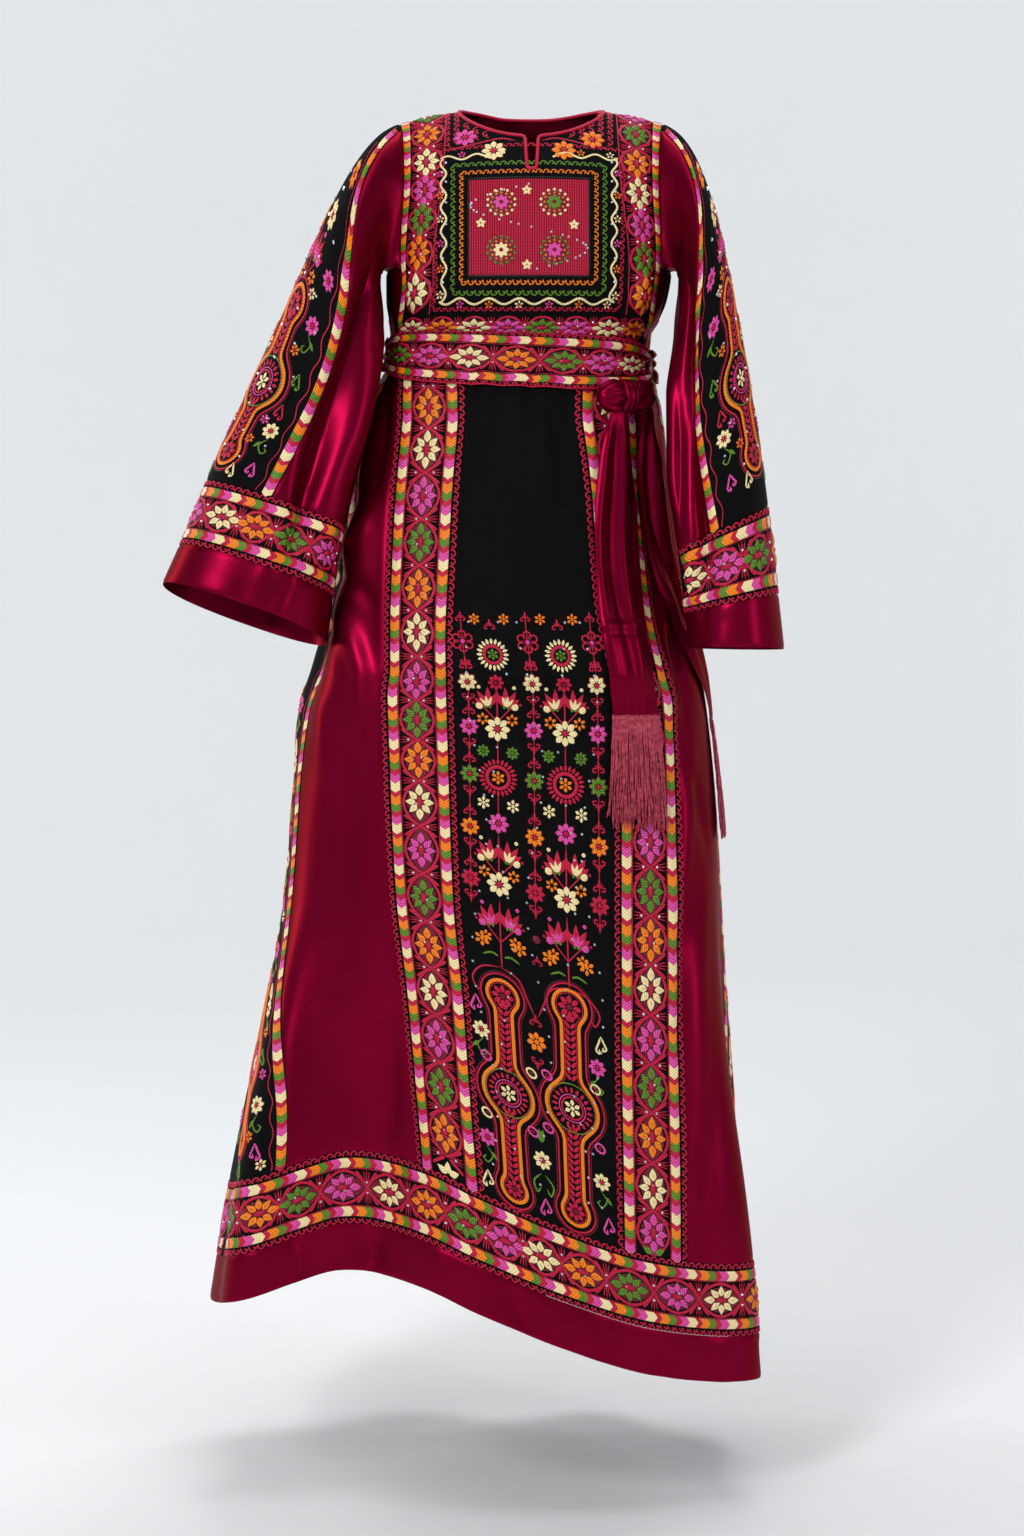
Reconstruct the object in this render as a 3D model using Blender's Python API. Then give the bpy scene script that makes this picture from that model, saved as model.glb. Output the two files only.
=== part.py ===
"""An embroidered thobe dress in the hollow shape that it has when worn, with its own sash.

Metres, +Z up, +X to the viewer's right, and the wearer would face -Y. The origin lies on top
of the shoulders, midway between them. "Left" and "right" are the viewer's.
"""

import math

import bmesh
import bpy
import numpy as np

# Walls and seams.
CLOTH = 0.0020
SASH_CLOTH = 0.0016
SEAM = 0.0003
CORD_RISE = 0.0012

# The embroidered trim: a row of medallions between two chevron cords.
BAND_WIDTH = 0.077
CORD_PLACE = 0.0265
CORD_HALF = 0.0050
HEM_BORDER = 0.050
CUFF_BORDER = 0.047

# The outline of the body, one row for each level. Left and right are the outermost X there,
# front and back the depths from the shoulder line, square the power of the superellipse, drop
# how far the shoulder slopes down to its tip, and swing the share of the hem's rise and fall.
OUTLINE_COLUMNS = ("z", "left", "right", "front", "back", "square", "drop", "swing")
OUTLINE_ROWS = (
    (0.000, -0.146, 0.146, 0.000, 0.000, 2.0, 0.024, 0.00),
    (-0.004, -0.147, 0.147, 0.022, 0.022, 2.0, 0.023, 0.00),
    (-0.018, -0.148, 0.148, 0.046, 0.043, 2.1, 0.019, 0.00),
    (-0.042, -0.149, 0.149, 0.068, 0.062, 2.2, 0.012, 0.00),
    (-0.080, -0.150, 0.149, 0.092, 0.078, 2.3, 0.005, 0.00),
    (-0.130, -0.151, 0.148, 0.110, 0.088, 2.3, 0.001, 0.00),
    (-0.176, -0.151, 0.146, 0.119, 0.091, 2.3, 0.000, 0.00),
    (-0.205, -0.151, 0.141, 0.119, 0.090, 2.3, 0.000, 0.00),
    (-0.226, -0.148, 0.132, 0.107, 0.084, 2.3, 0.000, 0.00),
    (-0.240, -0.146, 0.124, 0.098, 0.081, 2.3, 0.000, 0.00),
    (-0.270, -0.149, 0.122, 0.096, 0.080, 2.3, 0.000, 0.00),
    (-0.300, -0.163, 0.131, 0.100, 0.084, 2.3, 0.000, 0.00),
    (-0.330, -0.173, 0.137, 0.108, 0.094, 2.3, 0.000, 0.00),
    (-0.380, -0.186, 0.142, 0.120, 0.110, 2.3, 0.000, 0.00),
    (-0.450, -0.201, 0.152, 0.132, 0.126, 2.3, 0.000, 0.00),
    (-0.520, -0.212, 0.164, 0.143, 0.138, 2.4, 0.000, 0.01),
    (-0.590, -0.231, 0.178, 0.150, 0.146, 2.5, 0.000, 0.05),
    (-0.640, -0.246, 0.186, 0.151, 0.151, 2.6, 0.000, 0.11),
    (-0.700, -0.250, 0.193, 0.154, 0.158, 2.7, 0.000, 0.20),
    (-0.840, -0.262, 0.204, 0.165, 0.174, 2.9, 0.000, 0.50),
    (-0.950, -0.281, 0.214, 0.174, 0.187, 3.0, 0.000, 0.74),
    (-1.060, -0.305, 0.223, 0.183, 0.200, 3.0, 0.000, 0.92),
    (-1.160, -0.326, 0.226, 0.193, 0.214, 2.9, 0.000, 1.00),
    (-1.270, -0.345, 0.230, 0.203, 0.230, 2.8, 0.000, 1.00),
)

# How far the hem is above its mean level, at shares of half the way round from the centre
# front, the left negative.
HEM_COLUMNS = ("place", "lift")
HEM_ROWS = (
    (-1.00, -0.030),
    (-0.75, -0.010),
    (-0.50, 0.008),
    (-0.40, 0.027),
    (-0.32, 0.047),
    (-0.27, 0.055),
    (-0.21, 0.051),
    (-0.15, 0.044),
    (-0.085, 0.023),
    (0.01, -0.012),
    (0.12, -0.046),
    (0.22, -0.063),
    (0.47, -0.076),
    (0.75, -0.065),
    (1.00, -0.030),
)

# How the cloth is cut, measured round from the centre front: half the front with its band,
# then the satin side front and the black side gore. The back takes what is left. Centre is
# the X of the centre front.
CUT_COLUMNS = ("z", "centre", "front", "satin", "gore")
CUT_ROWS = (
    (0.000, 0.000, 0.138, 0.030, 0.045),
    (-0.080, 0.000, 0.142, 0.030, 0.045),
    (-0.176, 0.000, 0.154, 0.030, 0.046),
    (-0.226, -0.004, 0.155, 0.024, 0.046),
    (-0.270, -0.010, 0.140, 0.018, 0.046),
    (-0.310, -0.012, 0.134, 0.035, 0.048),
    (-0.380, -0.010, 0.140, 0.073, 0.055),
    (-0.520, -0.008, 0.149, 0.095, 0.068),
    (-0.620, 0.002, 0.159, 0.110, 0.085),
    (-0.840, 0.006, 0.156, 0.124, 0.130),
    (-0.950, 0.011, 0.151, 0.131, 0.150),
    (-1.060, 0.016, 0.148, 0.136, 0.175),
    (-1.160, 0.021, 0.145, 0.153, 0.195),
    (-1.270, 0.024, 0.144, 0.169, 0.215),
)

# Lengthwise folds. Place and width are shares of half the way round, from the centre front
# with the left negative; depth is outwards. A fold begins at one level, is full between the
# next two, and has gone at the last.
FOLD_COLUMNS = ("place", "width", "depth", "begin", "full", "fade", "gone")
FOLD_ROWS = (
    (-0.240, 0.092, -0.050, -0.75, -1.24, -2.0, -2.1),
    (-0.290, 0.120, -0.016, -0.55, -0.85, -2.0, -2.1),
    (-0.390, 0.045, 0.030, -0.78, -1.24, -2.0, -2.1),
    (0.270, 0.050, 0.026, -0.82, -1.24, -2.0, -2.1),
    (0.370, 0.045, -0.014, -0.70, -1.10, -2.0, -2.1),
    (-0.630, 0.060, -0.022, -0.55, -1.10, -2.0, -2.1),
    (-0.755, 0.055, 0.022, -0.46, -1.10, -2.0, -2.1),
    (-0.870, 0.055, -0.020, -0.42, -1.05, -2.0, -2.1),
    (0.990, 0.050, 0.020, -0.40, -1.05, -2.0, -2.1),
    (0.860, 0.055, -0.022, -0.42, -1.05, -2.0, -2.1),
    (0.740, 0.055, 0.022, -0.46, -1.05, -2.0, -2.1),
    (0.620, 0.055, -0.020, -0.55, -1.10, -2.0, -2.1),
    (-0.360, 0.045, 0.010, -0.34, -0.48, -0.60, -0.80),
    (-0.450, 0.035, -0.009, -0.34, -0.44, -0.56, -0.72),
    (-0.110, 0.022, 0.004, -0.31, -0.33, -0.36, -0.44),
    (0.050, 0.022, 0.004, -0.31, -0.33, -0.36, -0.44),
    (0.290, 0.035, -0.008, -0.33, -0.42, -0.54, -0.66),
    (-0.300, 0.030, 0.006, -0.16, -0.19, -0.210, -0.232),
    (0.300, 0.030, 0.006, -0.16, -0.19, -0.210, -0.232),
    (-0.780, 0.040, 0.007, -0.15, -0.19, -0.210, -0.232),
    (0.780, 0.040, 0.007, -0.15, -0.19, -0.210, -0.232),
    (1.000, 0.040, 0.008, -0.15, -0.19, -0.210, -0.232),
)

# Folds that run across the front: a soft roll that ends in a sharper tuck below it.
ROLL_COLUMNS = ("level", "place", "width", "depth", "above", "below")
ROLL_ROWS = (
    (-0.588, 0.010, 0.230, 0.016, 0.075, 0.018),
    (-0.196, -0.050, 0.240, 0.005, 0.030, 0.012),
)

# Each sleeve hangs from its armhole. Outer and inner are its top and underarm lines, y and
# deep the middle and half of its thickness, and lean tips the front of the ring upwards.
SLEEVE_COLUMNS = (
    "along", "outer_x", "outer_z", "inner_x", "inner_z", "y", "deep", "lean", "square",
)
LEFT_SLEEVE_ROWS = (
    (0.00, -0.146, -0.024, -0.152, -0.174, -0.014, 0.046, 0, 2.1),
    (0.10, -0.180, -0.062, -0.157, -0.188, -0.036, 0.056, 0, 2.1),
    (0.25, -0.225, -0.150, -0.156, -0.236, -0.052, 0.070, 0, 2.1),
    (0.40, -0.262, -0.235, -0.163, -0.296, -0.066, 0.072, 2, 2.2),
    (0.55, -0.297, -0.312, -0.176, -0.360, -0.080, 0.068, 4, 2.2),
    (0.70, -0.327, -0.379, -0.191, -0.424, -0.095, 0.066, 7, 2.3),
    (0.85, -0.352, -0.441, -0.204, -0.489, -0.105, 0.066, 10, 2.3),
    (1.00, -0.379, -0.502, -0.213, -0.560, -0.112, 0.067, 13, 2.3),
)
RIGHT_SLEEVE_ROWS = (
    (0.00, 0.146, -0.024, 0.147, -0.174, -0.014, 0.046, 0, 2.1),
    (0.10, 0.175, -0.068, 0.153, -0.190, -0.036, 0.056, 0, 2.1),
    (0.25, 0.197, -0.150, 0.150, -0.244, -0.056, 0.070, 0, 2.1),
    (0.40, 0.213, -0.235, 0.141, -0.310, -0.080, 0.069, 0, 2.2),
    (0.55, 0.226, -0.315, 0.140, -0.380, -0.103, 0.067, 1, 2.2),
    (0.70, 0.237, -0.393, 0.147, -0.443, -0.119, 0.066, 2, 2.2),
    (0.85, 0.247, -0.477, 0.156, -0.507, -0.129, 0.066, 3, 2.2),
    (1.00, 0.257, -0.566, 0.164, -0.564, -0.135, 0.066, 4, 2.2),
)

# Half the embroidered strip on top of a sleeve, from the shoulder to the cuff.
STRIP_COLUMNS = ("along", "half")
STRIP_ROWS = (
    (0.00, 0.030),
    (0.10, 0.056),
    (0.20, 0.096),
    (0.30, 0.114),
    (0.45, 0.122),
    (0.60, 0.118),
    (0.80, 0.110),
    (1.00, 0.106),
)

# Folds along a sleeve. Place is a share of half its way round from the top line, positive
# towards the front, and the levels are shares of its length.
SLEEVE_FOLD_COLUMNS = FOLD_COLUMNS
LEFT_SLEEVE_FOLDS = (
    (0.66, 0.060, -0.018, 0.06, 0.24, 0.72, 0.92),
    (0.83, 0.050, 0.010, 0.10, 0.30, 0.70, 0.92),
    (0.50, 0.055, 0.007, 0.12, 0.30, 0.55, 0.80),
    (-0.55, 0.070, -0.014, 0.10, 0.35, 0.70, 0.95),
    (-0.74, 0.055, 0.005, 0.10, 0.35, 0.70, 0.95),
)
RIGHT_SLEEVE_FOLDS = (
    (0.64, 0.055, -0.013, 0.06, 0.24, 0.72, 0.94),
    (0.76, 0.045, 0.011, 0.10, 0.28, 0.76, 0.94),
    (0.88, 0.050, -0.010, 0.16, 0.36, 0.78, 0.94),
    (-0.55, 0.070, -0.014, 0.10, 0.35, 0.70, 0.95),
    (-0.74, 0.055, 0.003, 0.10, 0.35, 0.70, 0.95),
)
ARMHOLE_BLEND = 0.22
UNDERARM_SHELF = 0.008
UNDERARM_RISE = 0.5
SHELF_END = 0.055

# The neck opening: an ellipse seen from above, and a slit down the centre front.
NECK_HALF_WIDTH = 0.076
NECK_FRONT = 0.068
NECK_BACK = 0.040
SLIT_TOP_HALF = 0.0070
SLIT_FOOT_HALF = 0.0048
SLIT_FOOT_Z = -0.074

# Levels on the body, as the z of its outline rows.
ARMPIT_Z = -0.176
WAIST_Z = -0.270
OUTLINE_FOOT_Z = -1.270

# Where the panels have a row of points, and how many steps they have across. The strip on
# top of a sleeve ends at the third row below the shoulder.
UPPER_LEVELS = (-0.002, -0.0055, -0.010, -0.025, -0.045, -0.070, -0.100, -0.135)
CHEST_LEVELS = (-0.197, -0.216, -0.231, -0.247)
STRIP_ROW = 2
UNDERARM_STEPS = 3
SKIRT_LEVELS = (
    -0.286, -0.307, -0.340, -0.400, -0.480, -0.556, -0.586, -0.603, -0.632, -0.720, -0.820,
    -0.920, -1.020,
)
FRONT_STEPS = 6
SATIN_STEPS = 5
GORE_STEPS = 4
BACK_STEPS = 18

# The sash: an embroidered front with round ends, a satin tie round the back, a knot and
# two hanging tails.
SASH_CLEAR = 0.0055
SASH_LEFT = -0.178
SASH_RIGHT = 0.163
SASH_HALF_HEIGHT = 0.029
SASH_LEFT_Z = -0.262
SASH_RIGHT_Z = -0.276
SASH_TIPS = 0.004
TIE_HALF_HEIGHT = 0.019
TIE_PLEAT = 0.0014
KNOT_ROUND = 0.104
KNOT_Z = -0.311
KNOT_HALF_SIZE = (0.034, 0.015, 0.019)
KNOT_CLEAR = 0.0177
TAIL_COLUMNS = ("z", "round", "width", "clear")
FRONT_TAIL_ROWS = (
    (-0.3266, 0.098, 0.020, 0.0169),
    (-0.3800, 0.097, 0.040, 0.0085),
    (-0.4300, 0.097, 0.050, 0.0060),
    (-0.5600, 0.102, 0.052, 0.0055),
    (-0.6280, 0.105, 0.051, 0.0055),
)
SIDE_TAIL_ROWS = (
    (-0.3262, 0.130, 0.018, 0.0169),
    (-0.3900, 0.142, 0.036, 0.0060),
    (-0.4700, 0.165, 0.046, 0.0045),
    (-0.5600, 0.215, 0.050, 0.0045),
    (-0.6400, 0.262, 0.050, 0.0045),
)
FRINGE_HEAD = 0.006
FRINGE_LENGTH = 0.110
FRINGE_STRANDS = 10
FRINGE_LAYERS = 2
STRAND_STEPS = 3

# Colours as linear red, green and blue, with roughness.
CRIMSON_SATIN = ((0.30, 0.010, 0.045), 0.35)
CRIMSON_STITCH = ((0.22, 0.008, 0.030), 0.60)
BLACK_CREPE = ((0.006, 0.006, 0.007), 0.80)

RING_STEPS = 720
NEAR = 0.0015
SPLIT_WAY = np.array([1.0, 0.7, 2.1])


def as_table(columns, rows):
    """A dictionary of columns."""
    return {name: np.array(values, float) for name, values in zip(columns, zip(*rows))}


def smooth(known, values, wanted):
    """A curve through the known values that never overshoots them, read at the wanted places."""
    if known[0] > known[-1]:
        known, values = known[::-1], values[::-1]
    step = np.diff(known)
    rise = np.diff(values) / step
    before, after = rise[:-1], rise[1:]
    total = np.where(before + after == 0, 1, before + after)
    inside = np.where(before * after > 0, 2 * before * after / total, 0)
    slope = np.concatenate([rise[:1], inside, rise[-1:]])
    wanted = np.clip(wanted, known[0], known[-1])
    i = np.clip(np.searchsorted(known, wanted) - 1, 0, len(step) - 1)
    t = (wanted - known[i]) / step[i]
    return (
        values[i] * (1 + 2 * t) * (1 - t) ** 2
        + slope[i] * step[i] * t * (1 - t) ** 2
        + values[i + 1] * t**2 * (3 - 2 * t)
        - slope[i + 1] * step[i] * t**2 * (1 - t)
    )


OUTLINE = as_table(OUTLINE_COLUMNS, OUTLINE_ROWS)
CUT = as_table(CUT_COLUMNS, CUT_ROWS)
HEM = as_table(HEM_COLUMNS, HEM_ROWS)
FOLDS = as_table(FOLD_COLUMNS, FOLD_ROWS)
ROLLS = as_table(ROLL_COLUMNS, ROLL_ROWS)
STRIP = as_table(STRIP_COLUMNS, STRIP_ROWS)
# How far down the cloth each outline row lies, measured along the centre front.
OUTLINE["down"] = np.concatenate(
    [[0], np.cumsum(np.hypot(np.diff(OUTLINE["z"]), np.diff(OUTLINE["front"])))]
)
LENGTH = OUTLINE["down"][-1]


def down_at(z):
    """The distance down the cloth at an outline level."""
    return float(np.interp(-z, -OUTLINE["z"], OUTLINE["down"]))


def level_at(down):
    """The outline level at a distance down the cloth."""
    return float(smooth(OUTLINE["down"], OUTLINE["z"], down))


def cut_at(name, down):
    return float(smooth(-CUT["z"], CUT[name], -level_at(down)))


def ramp(value, start, end):
    """0 before start and 1 after end, with a soft turn between."""
    t = np.clip((value - start) / (end - start), 0, 1)
    return t * t * (3 - 2 * t)


def fold_depth(folds, share, level):
    """How far the folds move the cloth outwards, at shares of half the way round."""
    depth = np.zeros_like(share)
    for k in range(len(folds["place"])):
        apart = (share - folds["place"][k] + 1) % 2 - 1
        grown = ramp(level, folds["begin"][k], folds["full"][k])
        left = 1 - ramp(level, folds["fade"][k], folds["gone"][k])
        depth += folds["depth"][k] * grown * left * np.exp(-((apart / folds["width"][k]) ** 2))
    return depth


def roll_depth(share, level):
    depth = np.zeros_like(share)
    for k in range(len(ROLLS["level"])):
        below = ROLLS["level"][k] - level
        reach = ROLLS["below"][k] if below > 0 else ROLLS["above"][k]
        apart = (share - ROLLS["place"][k]) / ROLLS["width"][k]
        depth += ROLLS["depth"][k] * math.exp(-((below / reach) ** 2)) * np.exp(-(apart**4))
    return depth


def power(value, square):
    return np.sign(value) * np.abs(value) ** (2 / square)


def lengths_along(points):
    """The distance along a line of points to each of them."""
    steps = np.linalg.norm(np.diff(points, axis=0), axis=1)
    return np.concatenate([[0], np.cumsum(steps)])


def moved_out(points, depth):
    """A closed line of points in plan, moved along its outward normals."""
    along = np.roll(points, -1, axis=0) - np.roll(points, 1, axis=0)
    along /= np.maximum(np.linalg.norm(along, axis=1, keepdims=True), 1e-12)
    return points + np.stack([along[:, 1], -along[:, 0]], axis=1) * depth[:, None]


def body_ring(down):
    """The body's outline at one distance down: its points in plan from the centre front round by
    the right, the distance round to each, and its row of the outline table."""
    row = {name: float(smooth(OUTLINE["down"], OUTLINE[name], down)) for name in OUTLINE_COLUMNS}
    middle, half = (row["left"] + row["right"]) / 2, (row["right"] - row["left"]) / 2
    lean = (cut_at("centre", down) - middle) / half
    start = math.asin(np.sign(lean) * abs(lean) ** (row["square"] / 2))
    turn = start + np.linspace(0, 2 * math.pi, RING_STEPS, endpoint=False)
    deep = np.where(np.cos(turn) > 0, row["front"], row["back"])
    across = middle + half * power(np.sin(turn), row["square"])
    plan = np.stack([across, -deep * power(np.cos(turn), row["square"])], axis=1)
    if row["front"] > NEAR:
        around = lengths_along(np.vstack([plan, plan[:1]]))
        share = signed_share(around[:-1], around[-1])
        depth = fold_depth(FOLDS, share, row["z"]) + roll_depth(share, row["z"])
        plan = moved_out(plan, depth)
    plan = np.vstack([plan, plan[:1]])
    return plan, lengths_along(plan), row


def signed_share(around, girth):
    """A distance round as a share of half the girth, from -1 to 1."""
    share = 2 * around / girth
    return np.where(share > 1, share - 2, share)


def body_row(down, rounds):
    """Points of the body at one distance down and several distances round, left negative."""
    flip = -1 if down < 0 else 1
    plan, around, row = body_ring(abs(down))
    rounds = np.mod(rounds, around[-1])
    x, y = (np.interp(rounds, around, plan[:, k]) for k in (0, 1))
    shoulder = np.abs(x) / OUTLINE["right"][0]
    lift = smooth(HEM["place"], HEM["lift"], signed_share(rounds, around[-1]))
    z = row["z"] + row["swing"] * lift - row["drop"] * shoulder**1.5
    return np.stack([x, flip * y, z], axis=1)


def body_girth(down):
    return float(body_ring(down)[1][-1])


def shares(count, start=0.0, end=1.0):
    return np.linspace(start, end, count + 1)


def surface_normals(grid_at, rows, columns):
    """Outward normals of a surface from its own neighbours, so that two panels agree at a seam."""
    lengthwise = grid_at(rows + NEAR, columns) - grid_at(rows - NEAR, columns)
    crosswise = grid_at(rows, columns, NEAR) - grid_at(rows, columns, -NEAR)
    normal = np.cross(crosswise, lengthwise)
    return -normal / np.maximum(np.linalg.norm(normal, axis=2, keepdims=True), 1e-12)


def body_grid(left_of, right_of):
    """A function that gives the body's points between two lines down the cloth, for distances
    down and shares across. Nudge moves every point round by that distance."""

    def grid_at(downs, across, nudge=0.0):
        return np.stack(
            [
                body_row(d, left_of(abs(d)) + across * (right_of(abs(d)) - left_of(abs(d))) + nudge)
                for d in downs
            ]
        )

    return grid_at


def rim(points, pair, next_pair, turned):
    """Two triangles of a wall's edge between two pairs of outer and inner points. They are split
    by the points' places, so that both of the panels at a seam are split the same way."""
    (outer, inner), (next_outer, next_inner) = pair, next_pair
    if np.dot(points[inner] - points[next_inner], SPLIT_WAY) > 0:
        faces = [(outer, inner, next_outer), (inner, next_inner, next_outer)]
    else:
        faces = [(outer, inner, next_inner), (outer, next_inner, next_outer)]
    return [face[::-1] for face in faces] if turned else faces


def wall_mesh(outer, inner):
    """Vertices and faces of the closed wall between two grids of points."""
    rows, columns = outer.shape[:2]
    points = np.concatenate([outer.reshape(-1, 3), inner.reshape(-1, 3)])

    def at(side, i, j):
        return side * rows * columns + i * columns + j

    def pair(i, j):
        return at(0, i, j), at(1, i, j)

    faces = []
    for i in range(rows - 1):
        for j in range(columns - 1):
            faces.append((at(0, i, j), at(0, i + 1, j), at(0, i + 1, j + 1), at(0, i, j + 1)))
            faces.append((at(1, i, j), at(1, i, j + 1), at(1, i + 1, j + 1), at(1, i + 1, j)))
    for i in range(rows - 1):
        for j, turned in ((0, False), (columns - 1, True)):
            faces += rim(points, pair(i, j), pair(i + 1, j), turned)
    for j in range(columns - 1):
        for i, turned in ((0, True), (rows - 1, False)):
            faces += rim(points, pair(i, j), pair(i, j + 1), turned)
    return points, faces


def add_object(name, points, faces, finish):
    """A named object from points and faces, with its faces pointing out and its own material."""
    mesh = bpy.data.meshes.new(name)
    mesh.from_pydata([tuple(p) for p in points], [], faces)
    shape = bmesh.new()
    shape.from_mesh(mesh)
    if shape.calc_volume(signed=True) < 0:
        bmesh.ops.reverse_faces(shape, faces=shape.faces)
    shape.to_mesh(mesh)
    shape.free()
    mesh.shade_smooth()
    mesh.set_sharp_from_angle(angle=math.radians(50))
    colour, roughness = finish
    material = bpy.data.materials.new(name)
    material.use_nodes = True
    shader = material.node_tree.nodes["Principled BSDF"]
    shader.inputs["Base Color"].default_value = (*colour, 1)
    shader.inputs["Roughness"].default_value = roughness
    mesh.materials.append(material)
    made = bpy.data.objects.new(name, mesh)
    bpy.context.scene.collection.objects.link(made)
    return made


def add_panel(name, grid_at, rows, across, finish, wall=CLOTH, clear=0.0, raised=None, first=None):
    """A cloth wall on part of a surface. Clear lifts it off the surface, raised is the extra
    rise of its outer points, and first the direction of the wall along its first row."""
    surface = grid_at(rows, across)
    normals = surface_normals(grid_at, rows, across)
    if first is not None:
        normals[0] = first
    inner = surface + normals * clear
    outer = inner + normals * wall
    if raised is not None:
        outer = outer + normals * raised[..., None]
    return add_object(name, *wall_mesh(outer, inner), finish)


def cord_rise(distance):
    """How far the trim stands up at a distance from its centre line: a round cord each side."""
    apart = np.clip(np.abs(np.abs(distance) - CORD_PLACE) / CORD_HALF, 0, 1)
    return CORD_RISE * np.sqrt(1 - apart**2)


def trim_shares():
    """Shares across the trim with a point on each edge and top of both cords."""
    half = BAND_WIDTH / 2
    places = [-half, -CORD_PLACE - CORD_HALF, -CORD_PLACE, -CORD_PLACE + CORD_HALF]
    places = places + [-p for p in reversed(places)]
    return (np.array(places) + half) / BAND_WIDTH


def front_edge(down):
    return cut_at("front", down)


def satin_edge(down):
    return front_edge(down) + cut_at("satin", down)


def gore_edge(down):
    return satin_edge(down) + cut_at("gore", down)


def build_body():
    """The panels of the body, from the shoulders to the trim above the hem."""
    gap = SEAM / 2
    waist, armpit = down_at(WAIST_Z), down_at(ARMPIT_Z)
    foot = LENGTH - HEM_BORDER - BAND_WIDTH
    skirt_rows = np.array([waist + gap, *[down_at(z) for z in SKIRT_LEVELS], foot - gap])
    chest_rows = [down_at(z) for z in CHEST_LEVELS]
    side_rows = np.concatenate([[armpit + gap], chest_rows, skirt_rows])
    upper_rows = np.array([gap, *armhole_rows(), armpit, *chest_rows, waist - gap])

    chest_grid = body_grid(lambda d: -front_edge(d) + gap, lambda d: front_edge(d) - gap)
    chest = add_panel("chest_panel", chest_grid, upper_rows, shares(14), CRIMSON_STITCH)
    front_grid = body_grid(
        lambda d: -front_edge(d) + BAND_WIDTH + gap, lambda d: front_edge(d) - BAND_WIDTH - gap
    )
    add_panel("front_panel", front_grid, skirt_rows, shares(FRONT_STEPS), BLACK_CREPE)
    trim = trim_shares()
    rise = np.tile(cord_rise((trim - 0.5) * BAND_WIDTH), (len(skirt_rows), 1))
    for side, turn in (("left", -1), ("right", 1)):
        band = side_grid(turn, lambda d: front_edge(d) - BAND_WIDTH, front_edge)
        satin = side_grid(turn, front_edge, satin_edge)
        gore = side_grid(turn, satin_edge, gore_edge)
        add_panel(f"front_band_{side}", band, skirt_rows, trim, CRIMSON_STITCH, raised=rise)
        add_panel(f"side_front_{side}", satin, side_rows, shares(SATIN_STEPS), CRIMSON_SATIN)
        add_panel(f"side_gore_{side}", gore, side_rows, shares(GORE_STEPS), BLACK_CREPE)
    back_grid = body_grid(lambda d: back_edge(d, 1) + gap, lambda d: back_edge(d, -1) - gap)
    back = add_panel("back_bodice", back_grid, upper_rows, shares(BACK_STEPS), CRIMSON_SATIN)
    add_panel("back_skirt", back_grid, skirt_rows, shares(BACK_STEPS), CRIMSON_SATIN)
    cut_neck(chest, with_slit=True)
    cut_neck(back, with_slit=False)
    build_hem(foot)


def armhole_rows():
    """The rows that the chest and the back have beside a sleeve, as distances down."""
    return np.array([*[down_at(z) for z in UPPER_LEVELS], down_at(ARMPIT_Z + CLOTH + SEAM)])


def side_grid(turn, near_of, far_of):
    """The surface between two seams on one side. Turn is -1 on the left and 1 on the right."""
    gap = SEAM / 2
    edges = (lambda d: turn * (near_of(d) + gap), lambda d: turn * (far_of(d) - gap))
    return body_grid(*edges[::turn])


def back_edge(down, turn):
    """Where the back begins, as a distance round to the right; turn -1 gives its other edge.
    Above the armpit it narrows to the shoulder as the front does."""
    girth = body_girth(down)
    half = girth / 2 - gore_edge(down)
    if down < down_at(ARMPIT_Z):
        armpit = down_at(ARMPIT_Z)
        low = body_girth(armpit) / 2 - gore_edge(armpit)
        half = float(front_edge(down) + (low - front_edge(armpit)) * down / armpit)
    return girth / 2 - turn * half


def build_hem(foot):
    """The embroidered trim and the satin border, each with a front and a back half. Their
    columns follow on from those of the panels above."""
    gap = SEAM / 2
    band_foot = LENGTH - HEM_BORDER
    trim = trim_shares()

    def seams(down):
        """The places round of the seams and of the middles of the gores."""
        front, satin_at, gore_at = front_edge(down), satin_edge(down), gore_edge(down)
        side, girth = (satin_at + gore_at) / 2, body_girth(down)
        right = [front - BAND_WIDTH, front, satin_at, side]
        return [-r for r in reversed(right)] + right, [side, gore_at, girth - gore_at, girth - side]

    def places(half, down):
        front, back = seams(down)
        if half == "front":
            steps = [GORE_STEPS // 2, SATIN_STEPS, trim, FRONT_STEPS, trim, SATIN_STEPS, GORE_STEPS // 2]
            edges = front
        else:
            steps = [GORE_STEPS // 2, BACK_STEPS, GORE_STEPS // 2]
            edges = back
        made = [np.array(edges[:1])]
        for near, far, step in zip(edges[:-1], edges[1:], steps):
            part = step if step is trim else shares(step)
            made.append(near + part[1:] * (far - near))
        made = np.concatenate(made)
        made[0] += gap
        made[-1] -= gap
        return made

    for half in ("front", "back"):

        def grid_at(downs, across, nudge=0.0, half=half):
            return np.stack([body_row(d, places(half, abs(d)) + nudge) for d in downs])

        count = len(places(half, foot))
        band_rows = foot + gap + trim * (band_foot - foot - 2 * gap)
        rise = np.tile(cord_rise((trim - 0.5) * BAND_WIDTH)[:, None], (1, count))
        across = np.arange(count)
        add_panel(f"hem_band_{half}", grid_at, band_rows, across, CRIMSON_STITCH, raised=rise)
        border_rows = shares(2, band_foot + gap, LENGTH - NEAR)
        add_panel(f"hem_border_{half}", grid_at, border_rows, across, CRIMSON_SATIN)


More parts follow.
